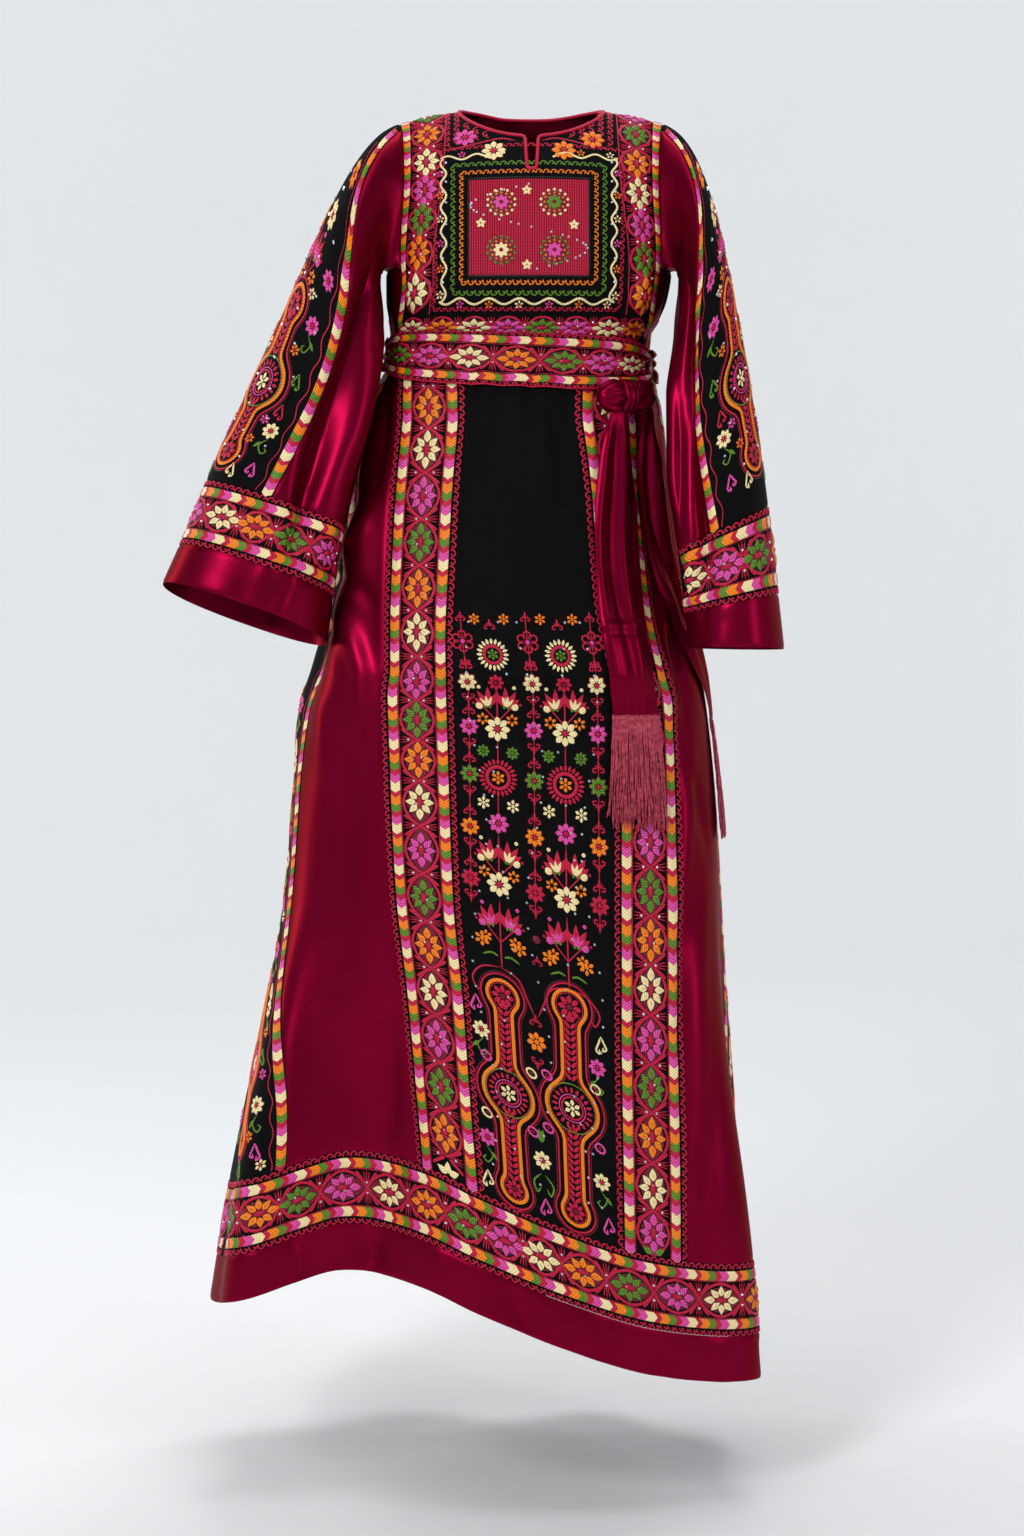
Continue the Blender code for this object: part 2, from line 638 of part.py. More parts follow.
def cut_neck(panel, with_slit):
    """Cuts the neck opening, and the slit in the front, out of a panel."""
    steps = 40
    middle = (NECK_BACK - NECK_FRONT) / 2
    deep = (NECK_BACK + NECK_FRONT) / 2
    turn = np.linspace(0, 2 * math.pi, steps, endpoint=False)
    ring = np.stack([NECK_HALF_WIDTH * np.cos(turn), middle + deep * np.sin(turn)], axis=1)
    add_cutter(panel, "neck", ring, (0.05, -0.10), upright=True)
    if with_slit:
        top = 0.02
        outline = np.array(
            [
                (-SLIT_FOOT_HALF, SLIT_FOOT_Z),
                (SLIT_FOOT_HALF, SLIT_FOOT_Z),
                (SLIT_TOP_HALF, top),
                (-SLIT_TOP_HALF, top),
            ]
        )
        add_cutter(panel, "slit", outline, (-0.20, -0.02), upright=False)


def add_cutter(panel, kind, outline, span, upright):
    """A prism that a Boolean takes out of a panel: upright along Z, or lying along Y."""
    count = len(outline)
    sides = [
        (x, y, s) if upright else (x, s, y)
        for s in span
        for x, y in outline
    ]
    faces = [tuple(range(count)), tuple(range(2 * count - 1, count - 1, -1))]
    faces += [(i, (i + 1) % count, count + (i + 1) % count, count + i) for i in range(count)]
    cutter = add_object(f"{panel.name}_{kind}_cutter", np.array(sides), faces, CRIMSON_SATIN)
    shape = bmesh.new()
    shape.from_mesh(cutter.data)
    bmesh.ops.recalc_face_normals(shape, faces=shape.faces)
    shape.to_mesh(cutter.data)
    shape.free()
    cutter.hide_render = True
    cutter.display_type = "WIRE"
    cut = panel.modifiers.new(kind, "BOOLEAN")
    cut.operation = "DIFFERENCE"
    cut.solver = "EXACT"
    cut.object = cutter


def armhole(turn, steps=200):
    """The armhole from the shoulder tip, by the front, under the arm and up the back to the tip
    again: its points, the directions of the walls there, the way outwards under the arm, and the
    share round to each point. Turn is -1 on the left and 1 on the right."""
    gap = SEAM / 2
    armpit = down_at(ARMPIT_Z + CLOTH + SEAM)
    downs = np.linspace(0, armpit, steps)
    places = [(d, turn * (front_edge(d) + gap)) for d in downs]
    places += [(d, turn * (back_edge(d, 1) - gap)) for d in downs[::-1]]
    rims, walls = [], []
    for down, place in places:
        grid_at = body_grid(lambda d, place=place: place, lambda d, place=place: place)
        rows, across = np.array([down]), np.zeros(1)
        rims.append(grid_at(rows, across)[0, 0])
        walls.append(surface_normals(grid_at, rows, across)[0, 0])
    under_places = turn * np.linspace(front_edge(armpit) + gap, back_edge(armpit, 1) - gap, steps)
    whole_grid = body_grid(lambda d: 0.0, lambda d: 1.0)
    under = body_row(armpit, under_places)
    points = np.vstack([rims[:steps], under[1:-1], rims[steps:]])
    out = surface_normals(whole_grid, np.array([armpit]), under_places)[0]
    out[:, 2] += UNDERARM_RISE
    aside = np.tile((0.7 * turn, 0.0, 0.0), (steps, 1))
    pushes = np.vstack([aside, out[1:-1], aside])
    walls = np.vstack([walls[:steps], np.tile((0.0, 0.0, -1.0), (steps - 2, 1)), walls[steps:]])
    around = lengths_along(points)
    return points, walls, pushes, around / around[-1]


class Sleeve:
    """The surface of one sleeve, for shares of its length and distances round from its top line,
    positive towards the front."""

    def __init__(self, turn, rows, folds):
        self.turn = turn
        self.rows = as_table(SLEEVE_COLUMNS, rows)
        self.folds = as_table(FOLD_COLUMNS, folds)
        self.hole, self.hole_walls, self.hole_push, self.hole_share = armhole(turn)
        self.girth_at_hole = self.girth(0)
        steps = len(self.hole_share) // 3 + 1
        downs = np.linspace(0, armhole_rows()[-1], steps)
        reach = np.array([0.0, *armhole_rows()])
        front = self.hole_share[:steps] * self.girth_at_hole
        back = (1 - self.hole_share[::-1][:steps]) * self.girth_at_hole
        self.front_places = np.interp(reach, downs, front)
        self.back_places = np.interp(reach, downs, back)

    def ring(self, along):
        """A closed ring from the top line by the front, under the arm and back, and the distance
        round to each of its points."""
        row = {n: float(smooth(self.rows["along"], self.rows[n], along)) for n in SLEEVE_COLUMNS}
        outer = np.array([row["outer_x"], row["y"], row["outer_z"]])
        inner = np.array([row["inner_x"], row["y"], row["inner_z"]])
        lean = math.radians(row["lean"])
        middle, across = (outer + inner) / 2, (outer - inner) / 2
        deep = row["deep"] * np.array([0, -math.cos(lean), math.sin(lean)])
        turn = np.linspace(0, 2 * math.pi, RING_STEPS + 1)
        wide, thick = power(np.cos(turn), row["square"]), power(np.sin(turn), row["square"])
        points = middle + wide[:, None] * across + thick[:, None] * deep
        around = lengths_along(points)
        share = signed_share(around, around[-1])
        ahead, behind = np.roll(points[:-1], -1, axis=0), np.roll(points[:-1], 1, axis=0)
        tangent = np.vstack([ahead - behind, (ahead - behind)[:1]])
        tangent /= np.linalg.norm(tangent, axis=1, keepdims=True)
        axis = np.cross(across, deep)
        normal = np.cross(tangent, axis / np.linalg.norm(axis))
        points = points + normal * fold_depth(self.folds, share, along)[:, None]
        hold = (1 - min(along / ARMHOLE_BLEND, 1)) ** 2
        if hold > 0:
            place = np.linspace(0, 1, RING_STEPS + 1)
            even = around / around[-1]
            start = [np.interp(place, self.hole_share, self.hole[:, k]) for k in range(3)]
            free = [np.interp(place, even, points[:, k]) for k in range(3)]
            points = np.stack(free, axis=1) * (1 - hold) + np.stack(start, axis=1) * hold
            push = [np.interp(place, self.hole_share, self.hole_push[:, k]) for k in range(3)]
            shelf = min(along / SHELF_END, 1) * (1 - ramp(along, SHELF_END, ARMHOLE_BLEND))
            points = points + UNDERARM_SHELF * shelf * np.stack(push, axis=1)
        return points, lengths_along(points)

    def columns(self, piece):
        """The columns of a piece as shares of its width at the armhole, in line with the rows of
        the chest and the back."""
        front, back, girth = self.front_places, self.back_places, self.girth_at_hole
        strip = STRIP_ROW + 1
        if piece == "top":
            made = np.concatenate([-back[strip:0:-1], front[: strip + 1]])
        elif piece == "front":
            made = np.concatenate([front[strip:-1], shares(UNDERARM_STEPS, front[-1], girth / 2)])
        else:
            under = shares(UNDERARM_STEPS, girth / 2, girth - back[-1])
            made = np.concatenate([under, girth - back[-2 : strip - 1 : -1]])
        return (made - made[0]) / (made[-1] - made[0])

    def hole_wall(self, near, far, across):
        """The directions of the wall along part of the armhole, between two distances round."""
        places = np.mod((near + across * (far - near)) / self.girth_at_hole, 1)
        walls = [np.interp(places, self.hole_share, self.hole_walls[:, k]) for k in range(3)]
        walls = np.stack(walls, axis=1)
        return walls / np.linalg.norm(walls, axis=1, keepdims=True)

    def girth(self, along):
        return float(self.ring(along)[1][-1])

    def row(self, along, places, nudge):
        """Points at one share of the length. On the right they run the other way round, so that
        the outward side of the cloth is the same."""
        points, around = self.ring(max(along, 0.0))
        places = np.mod(places - self.turn * nudge, around[-1])
        made = np.stack([np.interp(places, around, points[:, k]) for k in range(3)], axis=1)
        return made[:: -self.turn]

    def grid(self, near_of, far_of):
        """The surface between two lines along the sleeve."""

        def grid_at(alongs, across, nudge=0.0):
            made = []
            for a in alongs:
                near, far = near_of(max(a, 0.0)), far_of(max(a, 0.0))
                made.append(self.row(a, near + across * (far - near), nudge))
            return np.stack(made)

        return grid_at

    def length(self):
        """The mean length of the outer and inner lines."""
        outer = np.stack([self.rows["outer_x"], self.rows["outer_z"]], axis=1)
        inner = np.stack([self.rows["inner_x"], self.rows["inner_z"]], axis=1)
        return (lengths_along(outer)[-1] + lengths_along(inner)[-1]) / 2


def build_sleeve(side, turn, rows, folds):
    """One sleeve: the embroidered strip on top, satin before and behind, and the cuff."""
    sleeve = Sleeve(turn, rows, folds)
    length = sleeve.length()
    gap = SEAM / 2
    cuff_start = 1 - (BAND_WIDTH + CUFF_BORDER) / length
    border_start = 1 - CUFF_BORDER / length
    rows = np.concatenate([[0.0], shares(9, SHELF_END, cuff_start - gap / length)])
    half_girth = lambda a: sleeve.girth(a) / 2

    def strip(along, places):
        """Half the strip on top, which starts at a row of the chest or of the back."""
        start = places[STRIP_ROW + 1]
        wanted = float(smooth(STRIP["along"], STRIP["half"], along))
        return wanted + (start - STRIP["half"][0]) * (1 - ramp(along, 0, ARMHOLE_BLEND))

    front_strip = lambda a: strip(a, sleeve.front_places)
    back_strip = lambda a: strip(a, sleeve.back_places)
    edges = {
        "back": (lambda a: -half_girth(a), lambda a: -back_strip(a)),
        "top": (lambda a: -back_strip(a), front_strip),
        "front": (front_strip, half_girth),
    }
    finishes = {"back": CRIMSON_SATIN, "top": BLACK_CREPE, "front": CRIMSON_SATIN}
    parts = {piece: sleeve.columns(piece) for piece in edges}
    for piece, (near_of, far_of) in edges.items():
        near = lambda a, near_of=near_of: near_of(a) + gap
        far = lambda a, far_of=far_of: far_of(a) - gap
        across = parts[piece]
        first = sleeve.hole_wall(near(0), far(0), across)[:: -turn]
        grid_at = sleeve.grid(near, far)
        add_panel(f"sleeve_{piece}_{side}", grid_at, rows, across, finishes[piece], first=first)

    def cuff_grid(alongs, across, nudge=0.0):
        """The whole way round, with the columns of the three pieces above the cuff."""
        made = []
        for a in alongs:
            places = [near(a) + parts[p] * (far(a) - near(a)) for p, (near, far) in edges.items()]
            places = np.concatenate([places[0], places[1][1:], places[2][1:]])
            places[0] += gap
            places[-1] -= gap
            made.append(sleeve.row(a, places, nudge))
        return np.stack(made)

    trim = trim_shares()
    band_rows = cuff_start + gap / length + trim * (border_start - cuff_start - 2 * gap / length)
    across = np.arange(sum(len(part) for part in parts.values()) - 2)
    rise = np.tile(cord_rise((trim - 0.5) * BAND_WIDTH)[:, None], (1, len(across)))
    add_panel(f"cuff_band_{side}", cuff_grid, band_rows, across, CRIMSON_STITCH, raised=rise)
    border_rows = shares(2, border_start + gap / length, 1.0)
    add_panel(f"cuff_border_{side}", cuff_grid, border_rows, across, CRIMSON_SATIN)


def sash_grid(start, end, half_height, pleat=0.0):
    """The sash on the waist, for shares of its length and shares of its height."""

    def grid_at(alongs, across, nudge=0.0):
        made = []
        for a in alongs:
            place = start + a * (end - start)
            lean = np.clip((place - SASH_LEFT) / (SASH_RIGHT - SASH_LEFT), 0, 1)
            if place > SASH_RIGHT:
                lean = 1 - (place - SASH_RIGHT) / (end - SASH_RIGHT)
            middle = SASH_LEFT_Z + lean * (SASH_RIGHT_Z - SASH_LEFT_Z)
            heights = middle + (2 * across - 1) * half_height(np.clip(a, 0, 1)) + nudge
            row = [body_row(down_at(z), np.array([place]))[0] for z in heights]
            made.append(np.stack(row))
        return np.stack(made)

    return grid_at


def build_sash():
    """The sash: its embroidered front, the satin tie round the back, the knot and the tails."""
    waist_girth = body_girth(down_at(WAIST_Z))
    across = trim_shares()
    round_off = [SASH_TIPS, 0.02, 0.05, 0.10]
    tip = SASH_TIPS * (SASH_RIGHT - SASH_LEFT) - SEAM
    columns = np.array([*round_off, *shares(9, 0.17, 0.83), *[1 - c for c in round_off[::-1]]])

    def round_end(a):
        return SASH_HALF_HEIGHT * math.sqrt(max(1 - abs(2 * a - 1) ** 5, 0.0))

    rise = np.tile(cord_rise((across - 0.5) * BAND_WIDTH), (len(columns), 1))
    add_panel(
        "sash_front",
        sash_grid(SASH_LEFT, SASH_RIGHT, round_end),
        columns,
        across,
        CRIMSON_STITCH,
        wall=SASH_CLOTH,
        clear=SASH_CLEAR,
        raised=rise,
    )
    pleats = shares(6)
    rows = shares(15, 0.004, 0.996)
    crest = np.tile(TIE_PLEAT * (1 - np.cos(6 * math.pi * pleats)), (len(rows), 1))
    add_panel(
        "sash_tie",
        sash_grid(SASH_RIGHT - tip, waist_girth + SASH_LEFT + tip, lambda a: TIE_HALF_HEIGHT),
        rows,
        pleats,
        CRIMSON_SATIN,
        wall=SASH_CLOTH,
        clear=SASH_CLEAR,
        raised=crest,
    )
    build_knot()
    for name, rows in (("front", FRONT_TAIL_ROWS), ("side", SIDE_TAIL_ROWS)):
        build_tail(name, as_table(TAIL_COLUMNS, rows))


def surface_frame(z, place):
    """A point of the body, with its outward normal and the directions round and down."""
    grid_at = body_grid(lambda d: place, lambda d: place)
    down = np.array([down_at(z)])
    normal = surface_normals(grid_at, down, np.array([0.0]))[0, 0]
    point = grid_at(down, np.array([0.0]))[0, 0]
    around = grid_at(down, np.array([0.0]), NEAR)[0, 0] - point
    around /= np.linalg.norm(around)
    return point, normal, around, np.cross(normal, around)


def build_knot():
    """The knot: a rounded bundle of satin with creases drawn into its middle."""
    point, normal, around, down = surface_frame(KNOT_Z, KNOT_ROUND)
    wide, thick, high = KNOT_HALF_SIZE
    longs, lats = 20, 11
    rings = []
    for i in range(1, lats):
        lat = math.pi * i / lats - math.pi / 2
        lon = np.linspace(0, 2 * math.pi, longs, endpoint=False)
        pinch = 1 - 0.32 * math.exp(-((math.sin(lat) / 0.30) ** 2))
        crease = 1 + 0.07 * np.cos(7 * lon) * math.cos(lat)
        size = math.cos(lat) ** 0.8 * pinch * crease
        offset = (
            math.sin(lat) * wide * around
            + (np.sin(lon) * size * thick)[:, None] * normal
            + (np.cos(lon) * size * high)[:, None] * down
        )
        rings.append(point + normal * KNOT_CLEAR + offset)
    ends = [point + normal * KNOT_CLEAR + s * wide * around for s in (-1, 1)]
    points = np.vstack([*rings, *ends])
    faces = []
    for i in range(lats - 2):
        for j in range(longs):
            k = (j + 1) % longs
            faces.append((i * longs + j, i * longs + k, (i + 1) * longs + k, (i + 1) * longs + j))
    first, last = (lats - 1) * longs, (lats - 1) * longs + 1
    for j in range(longs):
        k = (j + 1) % longs
        faces.append((first, k, j))
        faces.append((last, (lats - 2) * longs + j, (lats - 2) * longs + k))
    add_object("sash_knot", points, faces, CRIMSON_SATIN)


def tail_grid(table):
    """A tail that lies along the skirt, for levels and shares of its width."""

    def grid_at(levels, across, nudge=0.0):
        made = []
        for z in levels:
            place = float(smooth(-table["z"], table["round"], -z))
            width = float(smooth(-table["z"], table["width"], -z))
            made.append(body_row(down_at(z), place + (across - 0.5) * width + nudge))
        return np.stack(made)

    return grid_at


def build_tail(name, table):
    grid_at = tail_grid(table)
    levels = shares(14, table["z"][0], table["z"][-1])
    across = shares(3)
    surface = grid_at(levels, across)
    normals = -surface_normals(grid_at, levels, across)
    clear = smooth(-table["z"], table["clear"], -levels)[:, None, None]
    inner = surface + normals * clear
    outer = inner + normals * SASH_CLOTH
    add_object(f"sash_tail_{name}", *wall_mesh(outer, inner), CRIMSON_SATIN)
    build_fringe(name, table, grid_at)


def build_fringe(name, table, grid_at):
    """A fringe below a tail: strands drawn down out of the underside of a narrow strip."""
    foot = table["z"][-1]
    clear = table["clear"][-1]
    cells = 2 * FRINGE_STRANDS + 1
    layers = 2 * FRINGE_LAYERS - 1
    thick = SASH_CLOTH * 2
    edge_shares = shares(cells)
    depths = clear + thick * shares(layers)
    rng = np.random.default_rng(5)
    lengths = FRINGE_LENGTH * rng.uniform(0.82, 1.0, (cells, layers))
    points, faces = [], []

    def grid_layer(z, spread):
        """The strip's corners at one level, as index [edge, depth]."""
        row = grid_at(np.array([z]), 0.5 + (edge_shares - 0.5) * spread)
        out = -surface_normals(grid_at, np.array([z]), 0.5 + (edge_shares - 0.5) * spread)
        made = np.zeros((cells + 1, layers + 1), int)
        for i in range(cells + 1):
            for j in range(layers + 1):
                made[i, j] = len(points)
                points.append(row[0, i] + out[0, i] * depths[j])
        return made

    top = grid_layer(foot - SEAM, 1.0)
    bottom = grid_layer(foot - SEAM - FRINGE_HEAD, 1.0)
    for i in range(cells):
        faces.append((top[i, 0], top[i + 1, 0], bottom[i + 1, 0], bottom[i, 0]))
        faces.append((top[i, layers], bottom[i, layers], bottom[i + 1, layers], top[i + 1, layers]))
        for j in range(layers):
            faces.append((top[i, j], top[i, j + 1], top[i + 1, j + 1], top[i + 1, j]))
            if i % 2 == 0 or j % 2 == 1:
                faces.append((bottom[i, j], bottom[i + 1, j], bottom[i + 1, j + 1], bottom[i, j + 1]))
    for j in range(layers):
        faces.append((top[0, j], bottom[0, j], bottom[0, j + 1], top[0, j + 1]))
        faces.append((top[cells, j], top[cells, j + 1], bottom[cells, j + 1], bottom[cells, j]))
    for i in range(1, cells, 2):
        for j in range(0, layers, 2):
            ring = [bottom[i, j], bottom[i + 1, j], bottom[i + 1, j + 1], bottom[i, j + 1]]
            for step in range(1, STRAND_STEPS + 1):
                fall = step / STRAND_STEPS
                z = foot - SEAM - FRINGE_HEAD - lengths[i, j] * fall
                spread = 1 + 0.16 * fall
                centre = (i + 0.5) / cells
                half = 0.5 / cells * (1 - 0.45 * fall)
                ends = 0.5 + (np.array([centre - half, centre + half]) - 0.5) * spread
                row = grid_at(np.array([z]), ends)[0]
                out = -surface_normals(grid_at, np.array([z]), ends)[0]
                near, far = depths[j], depths[j + 1] - (depths[j + 1] - depths[j]) * 0.4 * fall
                sway = 0.0035 * fall * math.sin(5 * fall + 0.9 * (i % 4 == 1))
                lift = 0.0012 * fall + max(sway, 0)
                fresh = []
                for end, depth in ((0, near), (1, near), (1, far), (0, far)):
                    fresh.append(len(points))
                    points.append(row[end] + out[end] * (depth + lift))
                for k in range(4):
                    m = (k + 1) % 4
                    faces.append((ring[k], ring[m], fresh[m], fresh[k]))
                ring = fresh
            faces.append(tuple(ring))
    made = add_object(f"sash_fringe_{name}", np.array(points), faces, CRIMSON_SATIN)
    shape = bmesh.new()
    shape.from_mesh(made.data)
    bmesh.ops.recalc_face_normals(shape, faces=shape.faces)
    shape.to_mesh(made.data)
    shape.free()


def main():
    for old in list(bpy.data.objects):
        bpy.data.objects.remove(old)
    build_body()
    build_sleeve("left", -1, LEFT_SLEEVE_ROWS, LEFT_SLEEVE_FOLDS)
    build_sleeve("right", 1, RIGHT_SLEEVE_ROWS, RIGHT_SLEEVE_FOLDS)
    build_sash()


main()
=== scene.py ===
import math

import bmesh
import bpy
import numpy as np
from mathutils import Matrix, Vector
from mathutils.bvhtree import BVHTree


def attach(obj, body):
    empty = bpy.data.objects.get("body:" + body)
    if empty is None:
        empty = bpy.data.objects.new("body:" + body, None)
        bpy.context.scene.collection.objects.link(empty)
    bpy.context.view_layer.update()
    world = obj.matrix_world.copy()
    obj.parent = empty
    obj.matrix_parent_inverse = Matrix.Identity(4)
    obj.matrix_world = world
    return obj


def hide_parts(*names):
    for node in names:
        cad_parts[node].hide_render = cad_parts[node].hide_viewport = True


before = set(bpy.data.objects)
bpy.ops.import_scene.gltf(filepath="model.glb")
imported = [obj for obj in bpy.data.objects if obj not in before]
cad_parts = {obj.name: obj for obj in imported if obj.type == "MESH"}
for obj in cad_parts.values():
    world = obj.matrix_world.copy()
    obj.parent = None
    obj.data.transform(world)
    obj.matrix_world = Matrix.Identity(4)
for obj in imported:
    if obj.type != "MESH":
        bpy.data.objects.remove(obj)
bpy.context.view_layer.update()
print("frame loaded")

# Sizes of the cloth, in metres.
cloth = {
    "face": 0.0020,  # how far the outer side stands off the drawn surface
    "back": 0.0011,  # and the inner side
    "seamDip": 0.0008,
    "seamReach": 0.0022,
    "bandWidth": 0.077,
    "hemBorder": 0.050,
    "cuffBorder": 0.047,
}

# The body's outline at each level: z, left, right, front, back, power of the superellipse,
# drop of the shoulder, share of the hem's rise and fall.
outlineRows = (
    (0, -0.146, 0.146, 0, 0, 2, 0.024, 0),
    (-0.004, -0.147, 0.147, 0.022, 0.022, 2, 0.023, 0),
    (-0.018, -0.148, 0.148, 0.046, 0.043, 2.1, 0.019, 0),
    (-0.042, -0.149, 0.149, 0.068, 0.062, 2.2, 0.012, 0),
    (-0.08, -0.15, 0.149, 0.092, 0.078, 2.3, 0.005, 0),
    (-0.13, -0.151, 0.148, 0.11, 0.088, 2.3, 0.001, 0),
    (-0.176, -0.151, 0.146, 0.119, 0.091, 2.3, 0, 0),
    (-0.205, -0.151, 0.141, 0.119, 0.09, 2.3, 0, 0),
    (-0.226, -0.148, 0.132, 0.107, 0.084, 2.3, 0, 0),
    (-0.24, -0.146, 0.124, 0.098, 0.081, 2.3, 0, 0),
    (-0.27, -0.149, 0.122, 0.096, 0.08, 2.3, 0, 0),
    (-0.3, -0.163, 0.131, 0.1, 0.084, 2.3, 0, 0),
    (-0.33, -0.173, 0.137, 0.108, 0.094, 2.3, 0, 0),
    (-0.38, -0.186, 0.142, 0.12, 0.11, 2.3, 0, 0),
    (-0.45, -0.201, 0.152, 0.132, 0.126, 2.3, 0, 0),
    (-0.52, -0.212, 0.164, 0.143, 0.138, 2.4, 0, 0.01),
    (-0.59, -0.231, 0.178, 0.15, 0.146, 2.5, 0, 0.05),
    (-0.64, -0.246, 0.186, 0.151, 0.151, 2.6, 0, 0.11),
    (-0.7, -0.25, 0.193, 0.154, 0.158, 2.7, 0, 0.2),
    (-0.84, -0.262, 0.204, 0.165, 0.174, 2.9, 0, 0.5),
    (-0.95, -0.281, 0.214, 0.174, 0.187, 3, 0, 0.74),
    (-1.06, -0.305, 0.223, 0.183, 0.2, 3, 0, 0.92),
    (-1.16, -0.326, 0.226, 0.193, 0.214, 2.9, 0, 1),
    (-1.27, -0.345, 0.23, 0.203, 0.23, 2.8, 0, 1),
)
# How far the hem lies above its mean level, at shares of half the way round.
hemRows = (
    (-1, -0.03), (-0.75, -0.01), (-0.5, 0.008), (-0.4, 0.027), (-0.32, 0.047), (-0.27, 0.055),
    (-0.21, 0.051), (-0.15, 0.044), (-0.085, 0.023), (0.01, -0.012), (0.12, -0.046), (0.22, -0.063),
    (0.47, -0.076), (0.75, -0.065), (1, -0.03),
)
# The cut: z, X of the centre front, half the front with its band, satin side, black gore.
cutRows = (
    (0, 0, 0.138, 0.03, 0.045),
    (-0.08, 0, 0.142, 0.03, 0.045),
    (-0.176, 0, 0.154, 0.03, 0.046),
    (-0.226, -0.004, 0.155, 0.024, 0.046),
    (-0.27, -0.01, 0.14, 0.018, 0.046),
    (-0.31, -0.012, 0.134, 0.035, 0.048),
    (-0.38, -0.01, 0.14, 0.073, 0.055),
    (-0.52, -0.008, 0.149, 0.095, 0.068),
    (-0.62, 0.002, 0.159, 0.11, 0.085),
    (-0.84, 0.006, 0.156, 0.124, 0.13),
    (-0.95, 0.011, 0.151, 0.131, 0.15),
    (-1.06, 0.016, 0.148, 0.136, 0.175),
    (-1.16, 0.021, 0.145, 0.153, 0.195),
    (-1.27, 0.024, 0.144, 0.169, 0.215),
)
# The largest lengthwise folds: place, width, depth, begin, full, fade, gone.
foldRows = (
    (-0.24, 0.092, -0.05, -0.75, -1.24, -2, -2.1),
    (-0.29, 0.12, -0.016, -0.55, -0.85, -2, -2.1),
    (-0.39, 0.045, 0.03, -0.78, -1.24, -2, -2.1),
    (0.27, 0.05, 0.026, -0.82, -1.24, -2, -2.1),
    (0.37, 0.045, -0.014, -0.7, -1.1, -2, -2.1),
    (-0.63, 0.06, -0.022, -0.55, -1.1, -2, -2.1),
    (-0.755, 0.055, 0.022, -0.46, -1.1, -2, -2.1),
    (-0.87, 0.055, -0.02, -0.42, -1.05, -2, -2.1),
    (0.99, 0.05, 0.02, -0.4, -1.05, -2, -2.1),
    (0.86, 0.055, -0.022, -0.42, -1.05, -2, -2.1),
    (0.74, 0.055, 0.022, -0.46, -1.05, -2, -2.1),
    (0.62, 0.055, -0.02, -0.55, -1.1, -2, -2.1),
    (-0.36, 0.045, 0.01, -0.34, -0.48, -0.6, -0.8),
    (-0.45, 0.035, -0.009, -0.34, -0.44, -0.56, -0.72),
    (-0.11, 0.022, 0.004, -0.31, -0.33, -0.36, -0.44),
    (0.05, 0.022, 0.004, -0.31, -0.33, -0.36, -0.44),
    (0.29, 0.035, -0.008, -0.33, -0.42, -0.54, -0.66),
    (-0.3, 0.03, 0.006, -0.16, -0.19, -0.21, -0.232),
    (0.3, 0.03, 0.006, -0.16, -0.19, -0.21, -0.232),
    (-0.78, 0.04, 0.007, -0.15, -0.19, -0.21, -0.232),
    (0.78, 0.04, 0.007, -0.15, -0.19, -0.21, -0.232),
    (1, 0.04, 0.008, -0.15, -0.19, -0.21, -0.232),
)
# Rolls across the front: level, place, width, depth, reach above, reach below.
rollRows = (
    (-0.588, 0.01, 0.23, 0.016, 0.075, 0.018),
    (-0.196, -0.05, 0.24, 0.005, 0.03, 0.012),
)


def columnsOf(rows):
    # The columns of a table.
    return np.array(rows, float).T


def smooth(known, values, wanted):
    # A cubic through the known values whose slopes are harmonic means, so it never overshoots.
    known, values = np.asarray(known, float), np.asarray(values, float)
    if known[0] > known[-1]:
        known, values = known[::-1], values[::-1]
    step = np.diff(known)
    rise = np.diff(values) / step
    total = rise[:-1] + rise[1:]
    flat = rise[:-1] * rise[1:] <= 0
    inside = np.where(flat, 0, 2 * rise[:-1] * rise[1:] / np.where(total == 0, 1, total))
    slope = np.concatenate([rise[:1], inside, rise[-1:]])
    wanted = np.clip(wanted, known[0], known[-1])
    i = np.clip(np.searchsorted(known, wanted) - 1, 0, len(step) - 1)
    t = (wanted - known[i]) / step[i]
    ends = values[i] * (1 + 2 * t) * (1 - t) ** 2 + values[i + 1] * t**2 * (3 - 2 * t)
    return ends + step[i] * t * (1 - t) * (slope[i] * (1 - t) - slope[i + 1] * t)


def ramp(value, start, end):
    # From 0 at start to 1 at end, as 3t squared less 2t cubed.
    t = np.clip((value - start) / (end - start), 0, 1)
    return t * t * (3 - 2 * t)


outline, cut, hemLine = columnsOf(outlineRows), columnsOf(cutRows), columnsOf(hemRows)
outlineDown = np.concatenate([[0], np.cumsum(np.hypot(np.diff(outline[0]), np.diff(outline[3])))])
clothLength = outlineDown[-1]


def downAt(z):
    return np.interp(-np.asarray(z, float), -outline[0], outlineDown)


def levelAt(down):
    return smooth(outlineDown, outline[0], down)


def cutAt(column, down):
    return smooth(-cut[0], cut[column], -levelAt(down))


def frontEdge(down):
    return cutAt(2, down)


def satinEdge(down):
    return cutAt(2, down) + cutAt(3, down)


def goreEdge(down):
    return cutAt(2, down) + cutAt(3, down) + cutAt(4, down)


def foldDepth(folds, share, level):
    # A sum of Gaussians across the share, each grown and faded along the level.
    depth = np.zeros(np.broadcast(share, level).shape)
    for place, width, high, begin, full, fade, gone in folds:
        apart = (share - place + 1) % 2 - 1
        grown = ramp(level, begin, full) * (1 - ramp(level, fade, gone))
        depth = depth + high * grown * np.exp(-((apart / width) ** 2))
    return depth


